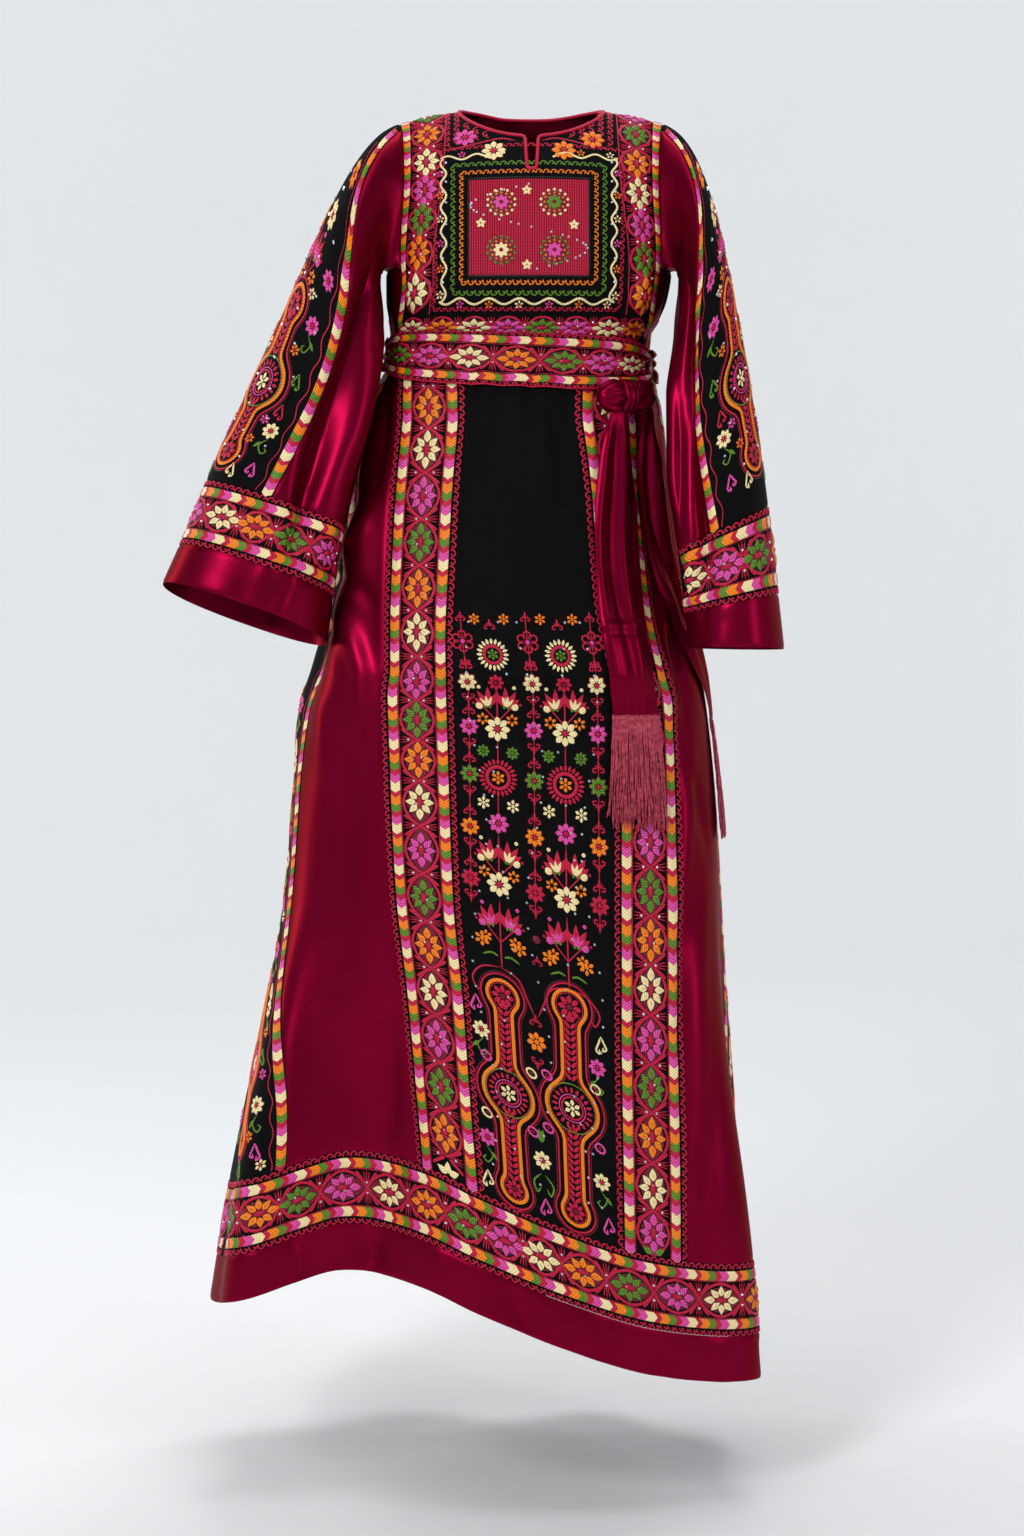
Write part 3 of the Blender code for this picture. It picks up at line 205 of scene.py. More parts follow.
def rollDepth(share, level):
    # A sum of Gaussians across the level, each ending softly at its sides.
    depth = np.zeros(np.broadcast(share, level).shape)
    for at, place, width, high, above, below in rollRows:
        drop = at - level
        reach = np.where(drop > 0, below, above)
        side = np.exp(-(((share - place) / width) ** 4))
        depth = depth + high * np.exp(-((drop / reach) ** 2)) * side
    return depth


def power(value, square):
    # The superellipse's power, 2 / square, of a sine or cosine with its sign kept.
    return np.sign(value) * np.abs(value) ** (2 / square)


def lengthsAlong(points):
    # The distance along each line of points, for lines in the last axis but one.
    steps = np.linalg.norm(np.diff(points, axis=-2), axis=-1)
    zero = np.zeros(steps.shape[:-1] + (1,))
    return np.concatenate([zero, np.cumsum(steps, axis=-1)], axis=-1)


class Surface:
    # A cloth surface as a grid of points: rows are distances down the cloth, columns are even
    # shares of the way round from -1 to 1. It is read between its points by bilinear weights.

    def __init__(self, downs, points, girths, sign=1):
        self.downs, self.points, self.girths, self.sign = downs, points, girths, sign
        self.normals = self.findNormals()

    def findNormals(self):
        lengthwise = np.gradient(self.points, axis=0)
        ahead = np.roll(self.points[:, :-1], -1, axis=1)
        behind = np.roll(self.points[:, :-1], 1, axis=1)
        crosswise = ahead - behind
        crosswise = np.concatenate([crosswise, crosswise[:, :1]], axis=1)
        normal = np.cross(lengthwise, crosswise) * self.sign
        return normal / np.maximum(np.linalg.norm(normal, axis=2, keepdims=True), 1e-12)

    def move(self, depth):
        self.points = self.points + self.normals * depth[..., None]
        self.normals = self.findNormals()

    def girth(self, down):
        return np.interp(down, self.downs, self.girths)

    def shareOf(self, down, around):
        share = 2 * around / self.girth(down)
        return (share + 1) % 2 - 1

    def read(self, down, around):
        # Points and outward normals at distances down and round.
        down, around = np.broadcast_arrays(np.asarray(down, float), np.asarray(around, float))
        i = np.interp(down, self.downs, np.arange(len(self.downs)))
        j = (self.shareOf(down, around) + 1) / 2 * (self.points.shape[1] - 1)
        i0 = np.clip(i.astype(int), 0, len(self.downs) - 2)
        j0 = np.clip(j.astype(int), 0, self.points.shape[1] - 2)
        a, b = (i - i0)[..., None], (j - j0)[..., None]
        found = []
        for grid in (self.points, self.normals):
            top = grid[i0, j0] * (1 - b) + grid[i0, j0 + 1] * b
            low = grid[i0 + 1, j0] * (1 - b) + grid[i0 + 1, j0 + 1] * b
            found.append(top * (1 - a) + low * a)
        length = np.linalg.norm(found[1], axis=-1, keepdims=True)
        return found[0], found[1] / np.maximum(length, 1e-9)


def evenShares(lines, around, shares):
    # Every line read again at even shares of its length, from the middle of the back round.
    made = []
    for line, length in zip(lines, around):
        places = np.mod(shares / 2, 1) * length[-1]
        made.append(np.stack([np.interp(places, length, line[:, k]) for k in range(line.shape[1])], 1))
    return np.stack(made)


def makeBodySurface(rowStep=0.0030, columns=1080):
    # Superellipses by level; the folds move them along their own normals in plan, then the hem's
    # rise and the shoulder's drop move them down. Above the ridge the cloth turns over to the back.
    ringSteps = 720
    over = 3
    plain = np.linspace(0, clothLength, int(clothLength / rowStep))
    downs = np.concatenate([-plain[over:0:-1], plain])
    reach = np.abs(downs)
    z, left, right, front, back, square, drop, swing = [
        smooth(outlineDown, column, reach)[:, None] for column in outline
    ]
    middle, half = (left + right) / 2, (right - left) / 2
    lean = (cutAt(1, reach)[:, None] - middle) / half
    start = np.arcsin(np.sign(lean) * np.abs(lean) ** (square / 2))
    turn = start + np.linspace(0, 2 * math.pi, ringSteps, endpoint=False)
    deep = np.where(np.cos(turn) > 0, front, back)
    plan = np.stack(
        [middle + half * power(np.sin(turn), square), -deep * power(np.cos(turn), square)], 2
    )
    closed = np.concatenate([plan, plan[:, :1]], axis=1)
    around = lengthsAlong(closed)
    share = 2 * around[:, :-1] / around[:, -1:]
    share = np.where(share > 1, share - 2, share)
    depth = foldDepth(foldRows, share, z) + rollDepth(share, z)
    along = np.roll(plan, -1, axis=1) - np.roll(plan, 1, axis=1)
    along = along / np.maximum(np.linalg.norm(along, axis=2, keepdims=True), 1e-12)
    outward = np.stack([along[..., 1], -along[..., 0]], axis=2)
    depth = np.where(front > 0.0015, depth, 0)
    plan = plan + outward * depth[..., None]
    closed = np.concatenate([plan, plan[:, :1]], axis=1)
    around = lengthsAlong(closed)
    shares = np.linspace(-1, 1, columns + 1)
    even = evenShares(closed, around, shares)
    x, y = even[..., 0], even[..., 1]
    y = np.where(downs[:, None] < 0, -y, y)
    lift = smooth(hemLine[0], hemLine[1], shares)[None, :]
    height = z + swing * lift - drop * (np.abs(x) / 0.146) ** 1.5
    return Surface(downs, np.stack([x, y, height], axis=2), around[:, -1])


# Creases, in millimetres: from down and round, to down and round, bow, half
# width, depth. Distances round start at the centre front, or at the centre back.
frontCreases = (
    (338, -52, 402, -49, 2, 6, -2.2), (336, -38, 425, -34, -2, 7, 2.4), (339, -20, 395, -21, 1, 5, -1.8),
    (336, -4, 418, -2, 2, 6, 2), (340, 14, 392, 12, -1, 5, -2), (336, 30, 430, 27, -2, 7, 2.2),
    (345, 48, 410, 50, 2, 6, -2), (440, -58, 520, 10, 9, 11, 1.8), (470, 62, 535, -6, -8, 10, -1.6),
    (352, -150, 505, -172, 6, 9, -4.2), (360, -168, 560, -196, -5, 11, 4.6),
    (420, -160, 528, -238, 8, 10, -4), (470, -158, 548, -232, 9, 9, 3.6),
    (552, -226, 585, -158, 8, 9, -3.2), (560, -238, 700, -168, 10, 13, 3.8),
    (600, -190, 812, -154, -8, 12, 4.4), (650, -226, 900, -196, 8, 15, -3.6),
    (820, -182, 1120, -214, 10, 17, 3.2), (930, -232, 1180, -258, -8, 15, -3),
    (1010, -170, 1200, -182, 6, 12, -2.6), (360, 150, 520, 168, -5, 9, 4),
    (380, 168, 580, 192, 5, 10, -4.4), (545, 168, 700, 150, 6, 10, 4), (575, 200, 745, 168, -6, 11, -3.6),
    (680, 178, 900, 140, 9, 11, 3.8), (730, 162, 830, 204, 6, 9, -3), (840, 196, 1120, 168, -10, 13, 3.6),
    (880, 160, 1015, 138, 5, 9, -3), (1000, 186, 1195, 152, 8, 12, -3.2),
    (1060, 148, 1200, 176, -6, 11, 2.8), (240, -132, 262, -62, 4, 8, -2.2), (262, 120, 246, 60, -4, 8, 2),
    (1290, -300, 1330, -284, 1, 10, 3), (1288, -210, 1333, -205, -1, 12, -3),
    (1286, -128, 1332, -120, 2, 13, 3), (1288, -40, 1333, -34, -2, 12, -2.6),
    (1287, 36, 1333, 46, 2, 14, 2.8), (1288, 112, 1333, 118, -2, 12, -3),
    (1287, 182, 1333, 190, 2, 12, 3.2), (1288, 250, 1333, 262, 2, 12, -3),
)
backCreases = (
    (60, -96, 205, -30, 9, 13, -3.8), (92, 104, 228, 42, -9, 12, 3.6), (120, -60, 250, -18, 6, 10, 3),
    (34, 40, 168, 18, 8, 14, -3), (180, -118, 262, -70, -6, 9, -3.2), (176, 122, 258, 84, 5, 9, -3.4),
    (342, -128, 640, -168, 9, 13, 5.2), (336, -86, 560, -104, -6, 11, -4.6),
    (340, -44, 720, -60, 9, 13, 5.4), (338, -12, 520, -6, 4, 10, -4.2), (342, 24, 790, 44, -10, 14, 5),
    (336, 62, 600, 82, 6, 12, -4.8), (346, 102, 680, 148, -8, 14, 5.2),
    (560, -214, 1010, -262, 12, 18, -5), (700, -118, 1190, -148, -12, 20, 5.6),
    (660, 6, 1160, 14, 12, 19, -5.2), (820, 92, 1200, 118, -8, 17, 4.6),
    (600, 214, 1080, 268, -12, 18, -5), (900, -40, 1200, -66, 6, 16, -4),
    (940, 190, 1205, 214, 6, 16, 4.2),
)
sleeveCreases = {
    "left": (
        (40, 118, 250, 150, 8, 10, 4.2), (70, 150, 300, 138, -7, 9, -4), (150, 176, 360, 172, 6, 11, 4.4),
        (210, 130, 420, 150, -6, 9, -3.6), (262, 196, 440, 190, 5, 10, -3.8),
        (300, 126, 470, 134, 5, 9, 3.4), (355, 168, 492, 166, -4, 9, 3.2),
        (452, 120, 545, 116, 3, 11, -2.8), (455, 160, 545, 164, -3, 11, 3),
        (90, -150, 320, -138, 8, 12, 4), (190, -186, 430, -170, -7, 12, -4),
        (330, -140, 470, -150, 5, 10, 3.4),
    ),
    "right": (
        (46, 112, 210, 138, 8, 9, 4), (92, 128, 250, 116, -6, 9, -3.8), (140, 168, 330, 172, 6, 10, 4.6),
        (190, 150, 372, 158, -6, 8, -4.4), (236, 128, 420, 138, 5, 8, 4),
        (292, 186, 430, 190, 5, 10, -3.8), (330, 152, 470, 160, -4, 8, -3.4),
        (380, 122, 486, 126, 4, 9, -3.2), (470, 110, 552, 116, 3, 11, 2.8),
        (90, -148, 320, -140, 8, 12, 4), (190, -184, 430, -172, -7, 12, -4),
        (330, -142, 470, -150, 5, 10, 3.4),
    ),
}


def creaseDepth(creases, down, around, girth):
    # Each crease is a Gaussian across, bowed by bow sin(pi t), and fades at its ends as
    # sin(pi t) to the power 0.7; t is the share of its length.
    depth = np.zeros(np.broadcast(down, around).shape)
    for row in creases:
        down0, around0, down1, around1, bow, width, high = np.array(row) / 1000
        along = np.array([down1 - down0, around1 - around0])
        length = float(np.hypot(*along))
        along /= length
        aside = (around - around0 + girth / 2) % girth - girth / 2
        onward = (down - down0) * along[0] + aside * along[1]
        share = np.clip(onward / length, 0, 1)
        apart = aside * along[0] - (down - down0) * along[1] - bow * np.sin(math.pi * share)
        depth += high * np.sin(math.pi * share).clip(0) ** 0.7 * np.exp(-((apart / width) ** 2))
    return depth


def creaseSurface(surface, creases, scale=1.0, turned=0.0):
    # Distances round are measured from the share of the girth that turned gives.
    girth = surface.girths[:, None]
    shares = np.linspace(-1, 1, surface.points.shape[1])[None]
    depth = creaseDepth(creases, surface.downs[:, None] * scale, (shares - turned) * girth / 2, girth)
    surface.move(depth)


body = makeBodySurface()
creaseSurface(body, frontCreases)
creaseSurface(body, backCreases, 1.0, 1.0)
print("body surface", body.points.shape)

# The sleeves: along, outer x, outer z, underarm x, underarm z, y, half depth, lean, power.
sleeveRows = {
    "left": (
        (0, -0.146, -0.024, -0.152, -0.174, -0.014, 0.046, 0, 2.1),
        (0.1, -0.18, -0.062, -0.157, -0.188, -0.036, 0.056, 0, 2.1),
        (0.25, -0.225, -0.15, -0.156, -0.236, -0.052, 0.07, 0, 2.1),
        (0.4, -0.262, -0.235, -0.163, -0.296, -0.066, 0.072, 2, 2.2),
        (0.55, -0.297, -0.312, -0.176, -0.36, -0.08, 0.068, 4, 2.2),
        (0.7, -0.327, -0.379, -0.191, -0.424, -0.095, 0.066, 7, 2.3),
        (0.85, -0.352, -0.441, -0.204, -0.489, -0.105, 0.066, 10, 2.3),
        (1, -0.379, -0.502, -0.213, -0.56, -0.112, 0.067, 13, 2.3),
    ),
    "right": (
        (0, 0.146, -0.024, 0.147, -0.174, -0.014, 0.046, 0, 2.1),
        (0.1, 0.175, -0.068, 0.153, -0.19, -0.036, 0.056, 0, 2.1),
        (0.25, 0.197, -0.15, 0.15, -0.244, -0.056, 0.07, 0, 2.1),
        (0.4, 0.213, -0.235, 0.141, -0.31, -0.08, 0.069, 0, 2.2),
        (0.55, 0.226, -0.315, 0.14, -0.38, -0.103, 0.067, 1, 2.2),
        (0.7, 0.237, -0.393, 0.147, -0.443, -0.119, 0.066, 2, 2.2),
        (0.85, 0.247, -0.477, 0.156, -0.507, -0.129, 0.066, 3, 2.2),
        (1, 0.257, -0.566, 0.164, -0.564, -0.135, 0.066, 4, 2.2),
    ),
}
sleeveFolds = {
    "left": (
        (0.66, 0.06, -0.018, 0.06, 0.24, 0.72, 0.92),
        (0.83, 0.05, 0.01, 0.1, 0.3, 0.7, 0.92),
        (0.5, 0.055, 0.007, 0.12, 0.3, 0.55, 0.8),
        (-0.55, 0.07, -0.014, 0.1, 0.35, 0.7, 0.95),
        (-0.74, 0.055, 0.005, 0.1, 0.35, 0.7, 0.95),
    ),
    "right": (
        (0.64, 0.055, -0.013, 0.06, 0.24, 0.72, 0.94),
        (0.76, 0.045, 0.011, 0.1, 0.28, 0.76, 0.94),
        (0.88, 0.05, -0.01, 0.16, 0.36, 0.78, 0.94),
        (-0.55, 0.07, -0.014, 0.1, 0.35, 0.7, 0.95),
        (-0.74, 0.055, 0.003, 0.1, 0.35, 0.7, 0.95),
    ),
}
# Half the embroidered strip on top of a sleeve, by the share of its length.
stripRows = (
    (0, 0.03), (0.1, 0.056), (0.2, 0.096), (0.3, 0.114), (0.45, 0.122), (0.6, 0.118), (0.8, 0.11),
    (1, 0.106),
)
sleeveCut = {"armpitZ": -0.176, "stripZ": -0.010, "blend": 0.22, "shelf": 0.008, "shelfEnd": 0.055}
armpitDown = float(downAt(sleeveCut["armpitZ"] + 0.0023))
seamGap = 0.00015
sides = (("left", -1), ("right", 1))


def backEdge(down, turn):
    # Where the back begins; above the armpit it narrows to the shoulder as the front does.
    girth = body.girth(down)
    armpit = float(downAt(sleeveCut["armpitZ"]))
    low = body.girth(armpit) / 2 - goreEdge(armpit)
    upper = frontEdge(down) + (low - frontEdge(armpit)) * down / armpit
    half = np.where(down < armpit, upper, girth / 2 - goreEdge(down))
    return girth / 2 - turn * half


def armholeLoop(turn, steps=200):
    # From the shoulder tip by the front, under the arm and up the back to the tip again.
    downs = np.linspace(0, armpitDown, steps)
    front, frontWalls = body.read(downs, turn * (frontEdge(downs) + seamGap))
    back, backWalls = body.read(downs[::-1], turn * (backEdge(downs[::-1], 1) - seamGap))
    reach = np.linspace(frontEdge(armpitDown) + seamGap, backEdge(armpitDown, 1) - seamGap, steps)
    under, out = body.read(armpitDown, turn * reach)
    out = out + np.array([0, 0, 0.5])
    aside = np.tile((0.7 * turn, 0.0, 0.0), (steps, 1))
    points = np.vstack([front, under[1:-1], back])
    walls = np.vstack([frontWalls, np.tile((0.0, 0.0, -1.0), (steps - 2, 1)), backWalls])
    pushes = np.vstack([aside, out[1:-1], aside])
    around = lengthsAlong(points)
    return points, walls, pushes, around / around[-1], downs


def makeSleeveSurface(side, turn, rows=170, columns=720):
    # Superellipses between the outer line and the underarm line, with the folds moved along
    # their normals; near the body they turn into the armhole's own loop.
    table = columnsOf(sleeveRows[side])
    loop, walls, pushes, loopShare, loopDowns = armholeLoop(turn)
    along = np.linspace(0, 1, rows)
    _, ox, oz, ix, iz, y, deep, lean, square = [
        smooth(table[0], column, along)[:, None] for column in table
    ]
    outer = np.stack([ox, y, oz], 2)
    inner = np.stack([ix, y, iz], 2)
    lean = np.radians(lean)
    depth = deep[..., None] * np.stack([np.zeros_like(lean), -np.cos(lean), np.sin(lean)], 2)
    across = (outer - inner) / 2
    angle = np.linspace(0, 2 * math.pi, columns + 1)[None, :]
    wide, thick = power(np.cos(angle), square), power(np.sin(angle), square)
    points = (outer + inner) / 2 + wide[..., None] * across + thick[..., None] * depth
    around = lengthsAlong(points)
    share = 2 * around / around[:, -1:]
    share = np.where(share > 1, share - 2, share)
    tangent = np.roll(points[:, :-1], -1, axis=1) - np.roll(points[:, :-1], 1, axis=1)
    tangent = np.concatenate([tangent, tangent[:, :1]], axis=1)
    tangent /= np.linalg.norm(tangent, axis=2, keepdims=True)
    axis = np.cross(across, depth)
    normal = np.cross(tangent, axis / np.linalg.norm(axis, axis=2, keepdims=True))
    points = points + normal * foldDepth(sleeveFolds[side], share, along[:, None])[..., None]
    place = np.linspace(0, 1, columns + 1)
    hold = (1 - np.minimum(along / sleeveCut["blend"], 1)) ** 2
    shelf = np.minimum(along / sleeveCut["shelfEnd"], 1) * (
        1 - ramp(along, sleeveCut["shelfEnd"], sleeveCut["blend"])
    )
    start = np.stack([np.interp(place, loopShare, loop[:, k]) for k in range(3)], 1)
    push = np.stack([np.interp(place, loopShare, pushes[:, k]) for k in range(3)], 1)
    even = around / around[:, -1:]
    for i in np.nonzero(hold > 0)[0]:
        free = np.stack([np.interp(place, even[i], points[i, :, k]) for k in range(3)], 1)
        points[i] = free * (1 - hold[i]) + start * hold[i] + sleeveCut["shelf"] * shelf[i] * push
    around = lengthsAlong(points)
    shares = np.linspace(-1, 1, columns + 1)
    made = Surface(along, evenShares(points, around, shares), around[:, -1], sign=-turn)
    made.length = (lengthsAlong(outer[:, 0])[-1] + lengthsAlong(inner[:, 0])[-1]) / 2
    girth = made.girth(0)
    third = len(loopShare) // 3 + 1
    stripDown = float(downAt(sleeveCut["stripZ"]))
    made.frontStart = np.interp(stripDown, loopDowns, loopShare[:third] * girth)
    made.backStart = np.interp(stripDown, loopDowns, (1 - loopShare[::-1][:third]) * girth)
    creaseSurface(made, sleeveCreases[side], made.length)
    wall = np.stack([np.interp(np.mod(shares / 2, 1), loopShare, walls[:, k]) for k in range(3)], 1)
    made.normals[0] = wall / np.linalg.norm(wall, axis=1, keepdims=True)
    return made


sleeves = {side: makeSleeveSurface(side, turn) for side, turn in sides}
print("sleeve surfaces", sleeves["left"].points.shape)


def linear(hexColour):
    # sRGB hex to linear light: the usual curve, channel by channel.
    values = [int(hexColour[i : i + 2], 16) / 255 for i in (1, 3, 5)]
    return [v / 12.92 if v <= 0.04045 else ((v + 0.055) / 1.055) ** 2.4 for v in values] + [1.0]


def addNode(tree, kind, settings=None, links=None, **inputs):
    # One node with its settings, its socket values, and links given as socket: (node, output).
    node = tree.nodes.new(kind)
    for name, value in (settings or {}).items():
        setattr(node, name, value)
    for name, value in inputs.items():
        node.inputs[name.replace("_", " ")].default_value = value
    for name, (source, output) in (links or {}).items():
        tree.links.new(source.outputs[output], node.inputs[name])
    return node


def newMaterial(name, **sockets):
    # A material with its shader's own sockets set; an underscore stands for a space in a name.
    material = bpy.data.materials.new(name)
    material.use_nodes = True
    tree = material.node_tree
    shader = tree.nodes["Principled BSDF"]
    for socket, value in sockets.items():
        shader.inputs[socket.replace("_", " ")].default_value = value
    return material, tree, shader


def makeSatin(name, values):
    # Duchess satin: long floats of silky yarn, so light lies along the folds in broad, coloured
    # highlights, the lit cloth is rose and the turned cloth goes almost black.
    material, tree, shader = newMaterial(
        name, Metallic=values["metallic"], Roughness=values["roughness"], Specular_IOR_Level=0.2,
        Specular_Tint=linear(values["edge"]),
    )
    place = addNode(tree, "ShaderNodeTexCoord")
    laid = {"Vector": (place, "Object")}
    cloudy = addNode(tree, "ShaderNodeTexNoise", None, laid, Scale=9.0, Detail=3.0)
    tone = addNode(tree, "ShaderNodeMix", {"data_type": "RGBA"}, {"Factor": (cloudy, "Fac")})
    tone.inputs[6].default_value = linear(values["dark"])
    tone.inputs[7].default_value = linear(values["light"])
    tree.links.new(tone.outputs[2], shader.inputs["Base Color"])
    stretch = addNode(tree, "ShaderNodeMapping", None, laid)
    stretch.inputs["Scale"].default_value = (1, 1, 0.16)
    drawn = {"Vector": (stretch, "Vector")}
    yarn = addNode(tree, "ShaderNodeTexNoise", None, drawn, Scale=values["yarn"], Detail=2.0)
    soft = addNode(tree, "ShaderNodeTexNoise", None, laid, Scale=38.0, Detail=2.0)
    low = addNode(tree, "ShaderNodeBump", None, {"Height": (soft, "Fac")}, Strength=0.25, Distance=0.0016)
    fine = addNode(
        tree, "ShaderNodeBump", None, {"Height": (yarn, "Fac"), "Normal": (low, "Normal")},
        Strength=0.16, Distance=0.0003,
    )
    tree.links.new(fine.outputs["Normal"], shader.inputs["Normal"])
    return material


def makeCrepe(name, values):
    # Crepe: hard-twisted yarn with a pebbled face, so the black stays matt with a faint grain.
    # The pebble is 0.7 mm across.
    material, tree, shader = newMaterial(name, Roughness=values["roughness"], Specular_IOR_Level=0.1)
    place = addNode(tree, "ShaderNodeTexCoord")
    laid = {"Vector": (place, "Object")}
    grain = addNode(tree, "ShaderNodeTexNoise", None, laid, Scale=values["pebble"], Detail=2.0)
    tone = addNode(tree, "ShaderNodeValToRGB", None, {"Fac": (grain, "Fac")})
    for stop, share in zip(tone.color_ramp.elements, (0.6, 1.5)):
        stop.color = [c * share for c in linear(values["colour"])[:3]] + [1]
    tree.links.new(tone.outputs["Color"], shader.inputs["Base Color"])
    bump = addNode(tree, "ShaderNodeBump", None, {"Height": (grain, "Fac")}, Strength=0.3, Distance=0.0004)
    tree.links.new(bump.outputs["Normal"], shader.inputs["Normal"])
    return material


satinLook = {
    "dark": "#6A0322", "light": "#86082E", "edge": "#B81C44", "metallic": 0.8, "roughness": 0.34,
    "yarn": 900.0,
}
crepeLook = {"colour": "#070607", "roughness": 0.86, "pebble": 1500.0}
finishes = {
    "satin": makeSatin("crimsonDuchessSatin", satinLook), "crepe": makeCrepe("blackCrepe", crepeLook),
}


def meshObject(name, points, faces, materials, faceSlots=None, uv=None, smoothAngle=40):
    # A smooth mesh object of its own, with its materials, its faces' slots and its points' UV.
    mesh = bpy.data.meshes.new(name)
    mesh.from_pydata(points.reshape(-1, 3).tolist(), [], faces if isinstance(faces, list) else faces.tolist())
    for material in materials:
        mesh.materials.append(material)
    if faceSlots is not None:
        mesh.polygons.foreach_set("material_index", faceSlots.astype(np.int32))
    if uv is not None:
        corners = np.empty(len(mesh.loops), np.int32)
        mesh.loops.foreach_get("vertex_index", corners)
        mesh.uv_layers.new(name="stitch").data.foreach_set("uv", uv[corners].astype(np.float32).ravel())
    mesh.shade_smooth()
    if smoothAngle:
        mesh.set_sharp_from_angle(angle=math.radians(smoothAngle))
    mesh.update()
    made = bpy.data.objects.new(name, mesh)
    bpy.context.scene.collection.objects.link(made)
    return made


def gridFaces(rows, columns, closedRows=False, closedColumns=False):
    # Quads of a grid of points given row by row, closed round where its rows or columns meet.
    i = np.arange(rows if closedRows else rows - 1)[:, None]
    j = np.arange(columns if closedColumns else columns - 1)
    row, nextRow, nextColumn = i * columns, (i + 1) % rows * columns, (j + 1) % columns
    corners = [row + j, row + nextColumn, nextRow + nextColumn, nextRow + j]
    return np.stack(corners, 2).reshape(-1, 4)


def shellFaces(rows, columns):
    # Quads of a closed wall between an outer and an inner grid, with its four edges.
    i, j = np.meshgrid(np.arange(rows - 1), np.arange(columns - 1), indexing="ij")
    a = (i * columns + j).ravel()
    outer = np.stack([a, a + columns, a + columns + 1, a + 1], 1)
    inner = outer[:, ::-1] + rows * columns
    n = rows * columns
    k = np.arange(rows - 1) * columns
    side = np.stack([k, k + n, k + n + columns, k + columns], 1)
    far = k + columns - 1
    other = np.stack([far, far + columns, far + columns + n, far + n], 1)
    m = np.arange(columns - 1)
    top = np.stack([m, m + 1, m + 1 + n, m + n], 1)
    last = m + (rows - 1) * columns
    foot = np.stack([last, last + n, last + 1 + n, last + 1], 1)
    return np.vstack([outer, inner, side, other, top, foot])


edgeSteps = np.array([0, 0.0009, 0.0022, 0.0045])  # the first rows of points beside a seam


def edgedPlaces(near, far, step):
    # Places from near to far: close together at both edges, then evenly about a step apart.
    near, far = np.atleast_1d(near)[:, None], np.atleast_1d(far)[:, None]
    count = max(int(np.max(far - near) / step), 2)
    t = np.linspace(0, 1, count + 1)[None, 1:-1]
    start, end = near + edgeSteps, far - edgeSteps[::-1]
    return np.concatenate([start, start[:, -1:] + t * (end[:, :1] - start[:, -1:]), end], 1)


def clothPanel(name, surface, span, near, far, node, finish, slot, step=0.0055, scale=1.0, face=None):
    # A thin closed shell on part of a surface, from distance span[0] to span[1] down it and
    # between two seams. Its face dips at every edge, where the pieces are sewn together, by
    # seamDip exp(-(distance / seamReach) squared).
    downs = edgedPlaces(span[0] * scale + seamGap, span[1] * scale - seamGap, step)[0] / scale
    places = edgedPlaces(near(downs) + seamGap, far(downs) - seamGap, step)
    points, normals = surface.read(downs[:, None], places)
    reach = cloth["seamReach"]
    sideways = np.minimum(places - places[:, :1], places[:, -1:] - places)
    lengthwise = np.minimum(downs - downs[0], downs[-1] - downs)[:, None] * scale
    dip = np.exp(-((sideways / reach) ** 2)) + np.exp(-((lengthwise / reach) ** 2))
    rise = (face or cloth["face"]) - cloth["seamDip"] * np.minimum(dip, 1)
    outer = points + normals * rise[..., None]
    inner = points + normals * cloth["back"]
    rows, columns = outer.shape[:2]
    faces = shellFaces(rows, columns)
    if np.dot(np.cross(outer[1, 0] - outer[0, 0], outer[0, 1] - outer[0, 0]), normals[0, 0]) < 0:
        faces = faces[:, ::-1]
    made = meshObject(name, np.concatenate([outer, inner]), faces, [finish])
    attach(made, "root")
    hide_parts(node)
    widths = places[:, -1] - places[:, 0]
    made["flatWidth"] = float(np.max(widths))
    made["flatLength"] = float((downs[-1] - downs[0]) * scale)
    made["flatArea"] = float(np.trapz(widths, downs * scale))
    return made


waistDown = float(downAt(-0.270))
hemBandTop = clothLength - cloth["hemBorder"] - cloth["bandWidth"]
hemBandFoot = clothLength - cloth["hemBorder"]
armpitRow = float(downAt(sleeveCut["armpitZ"]))
panels = {}


def sideSeam(down):
    return (satinEdge(down) + goreEdge(down)) / 2


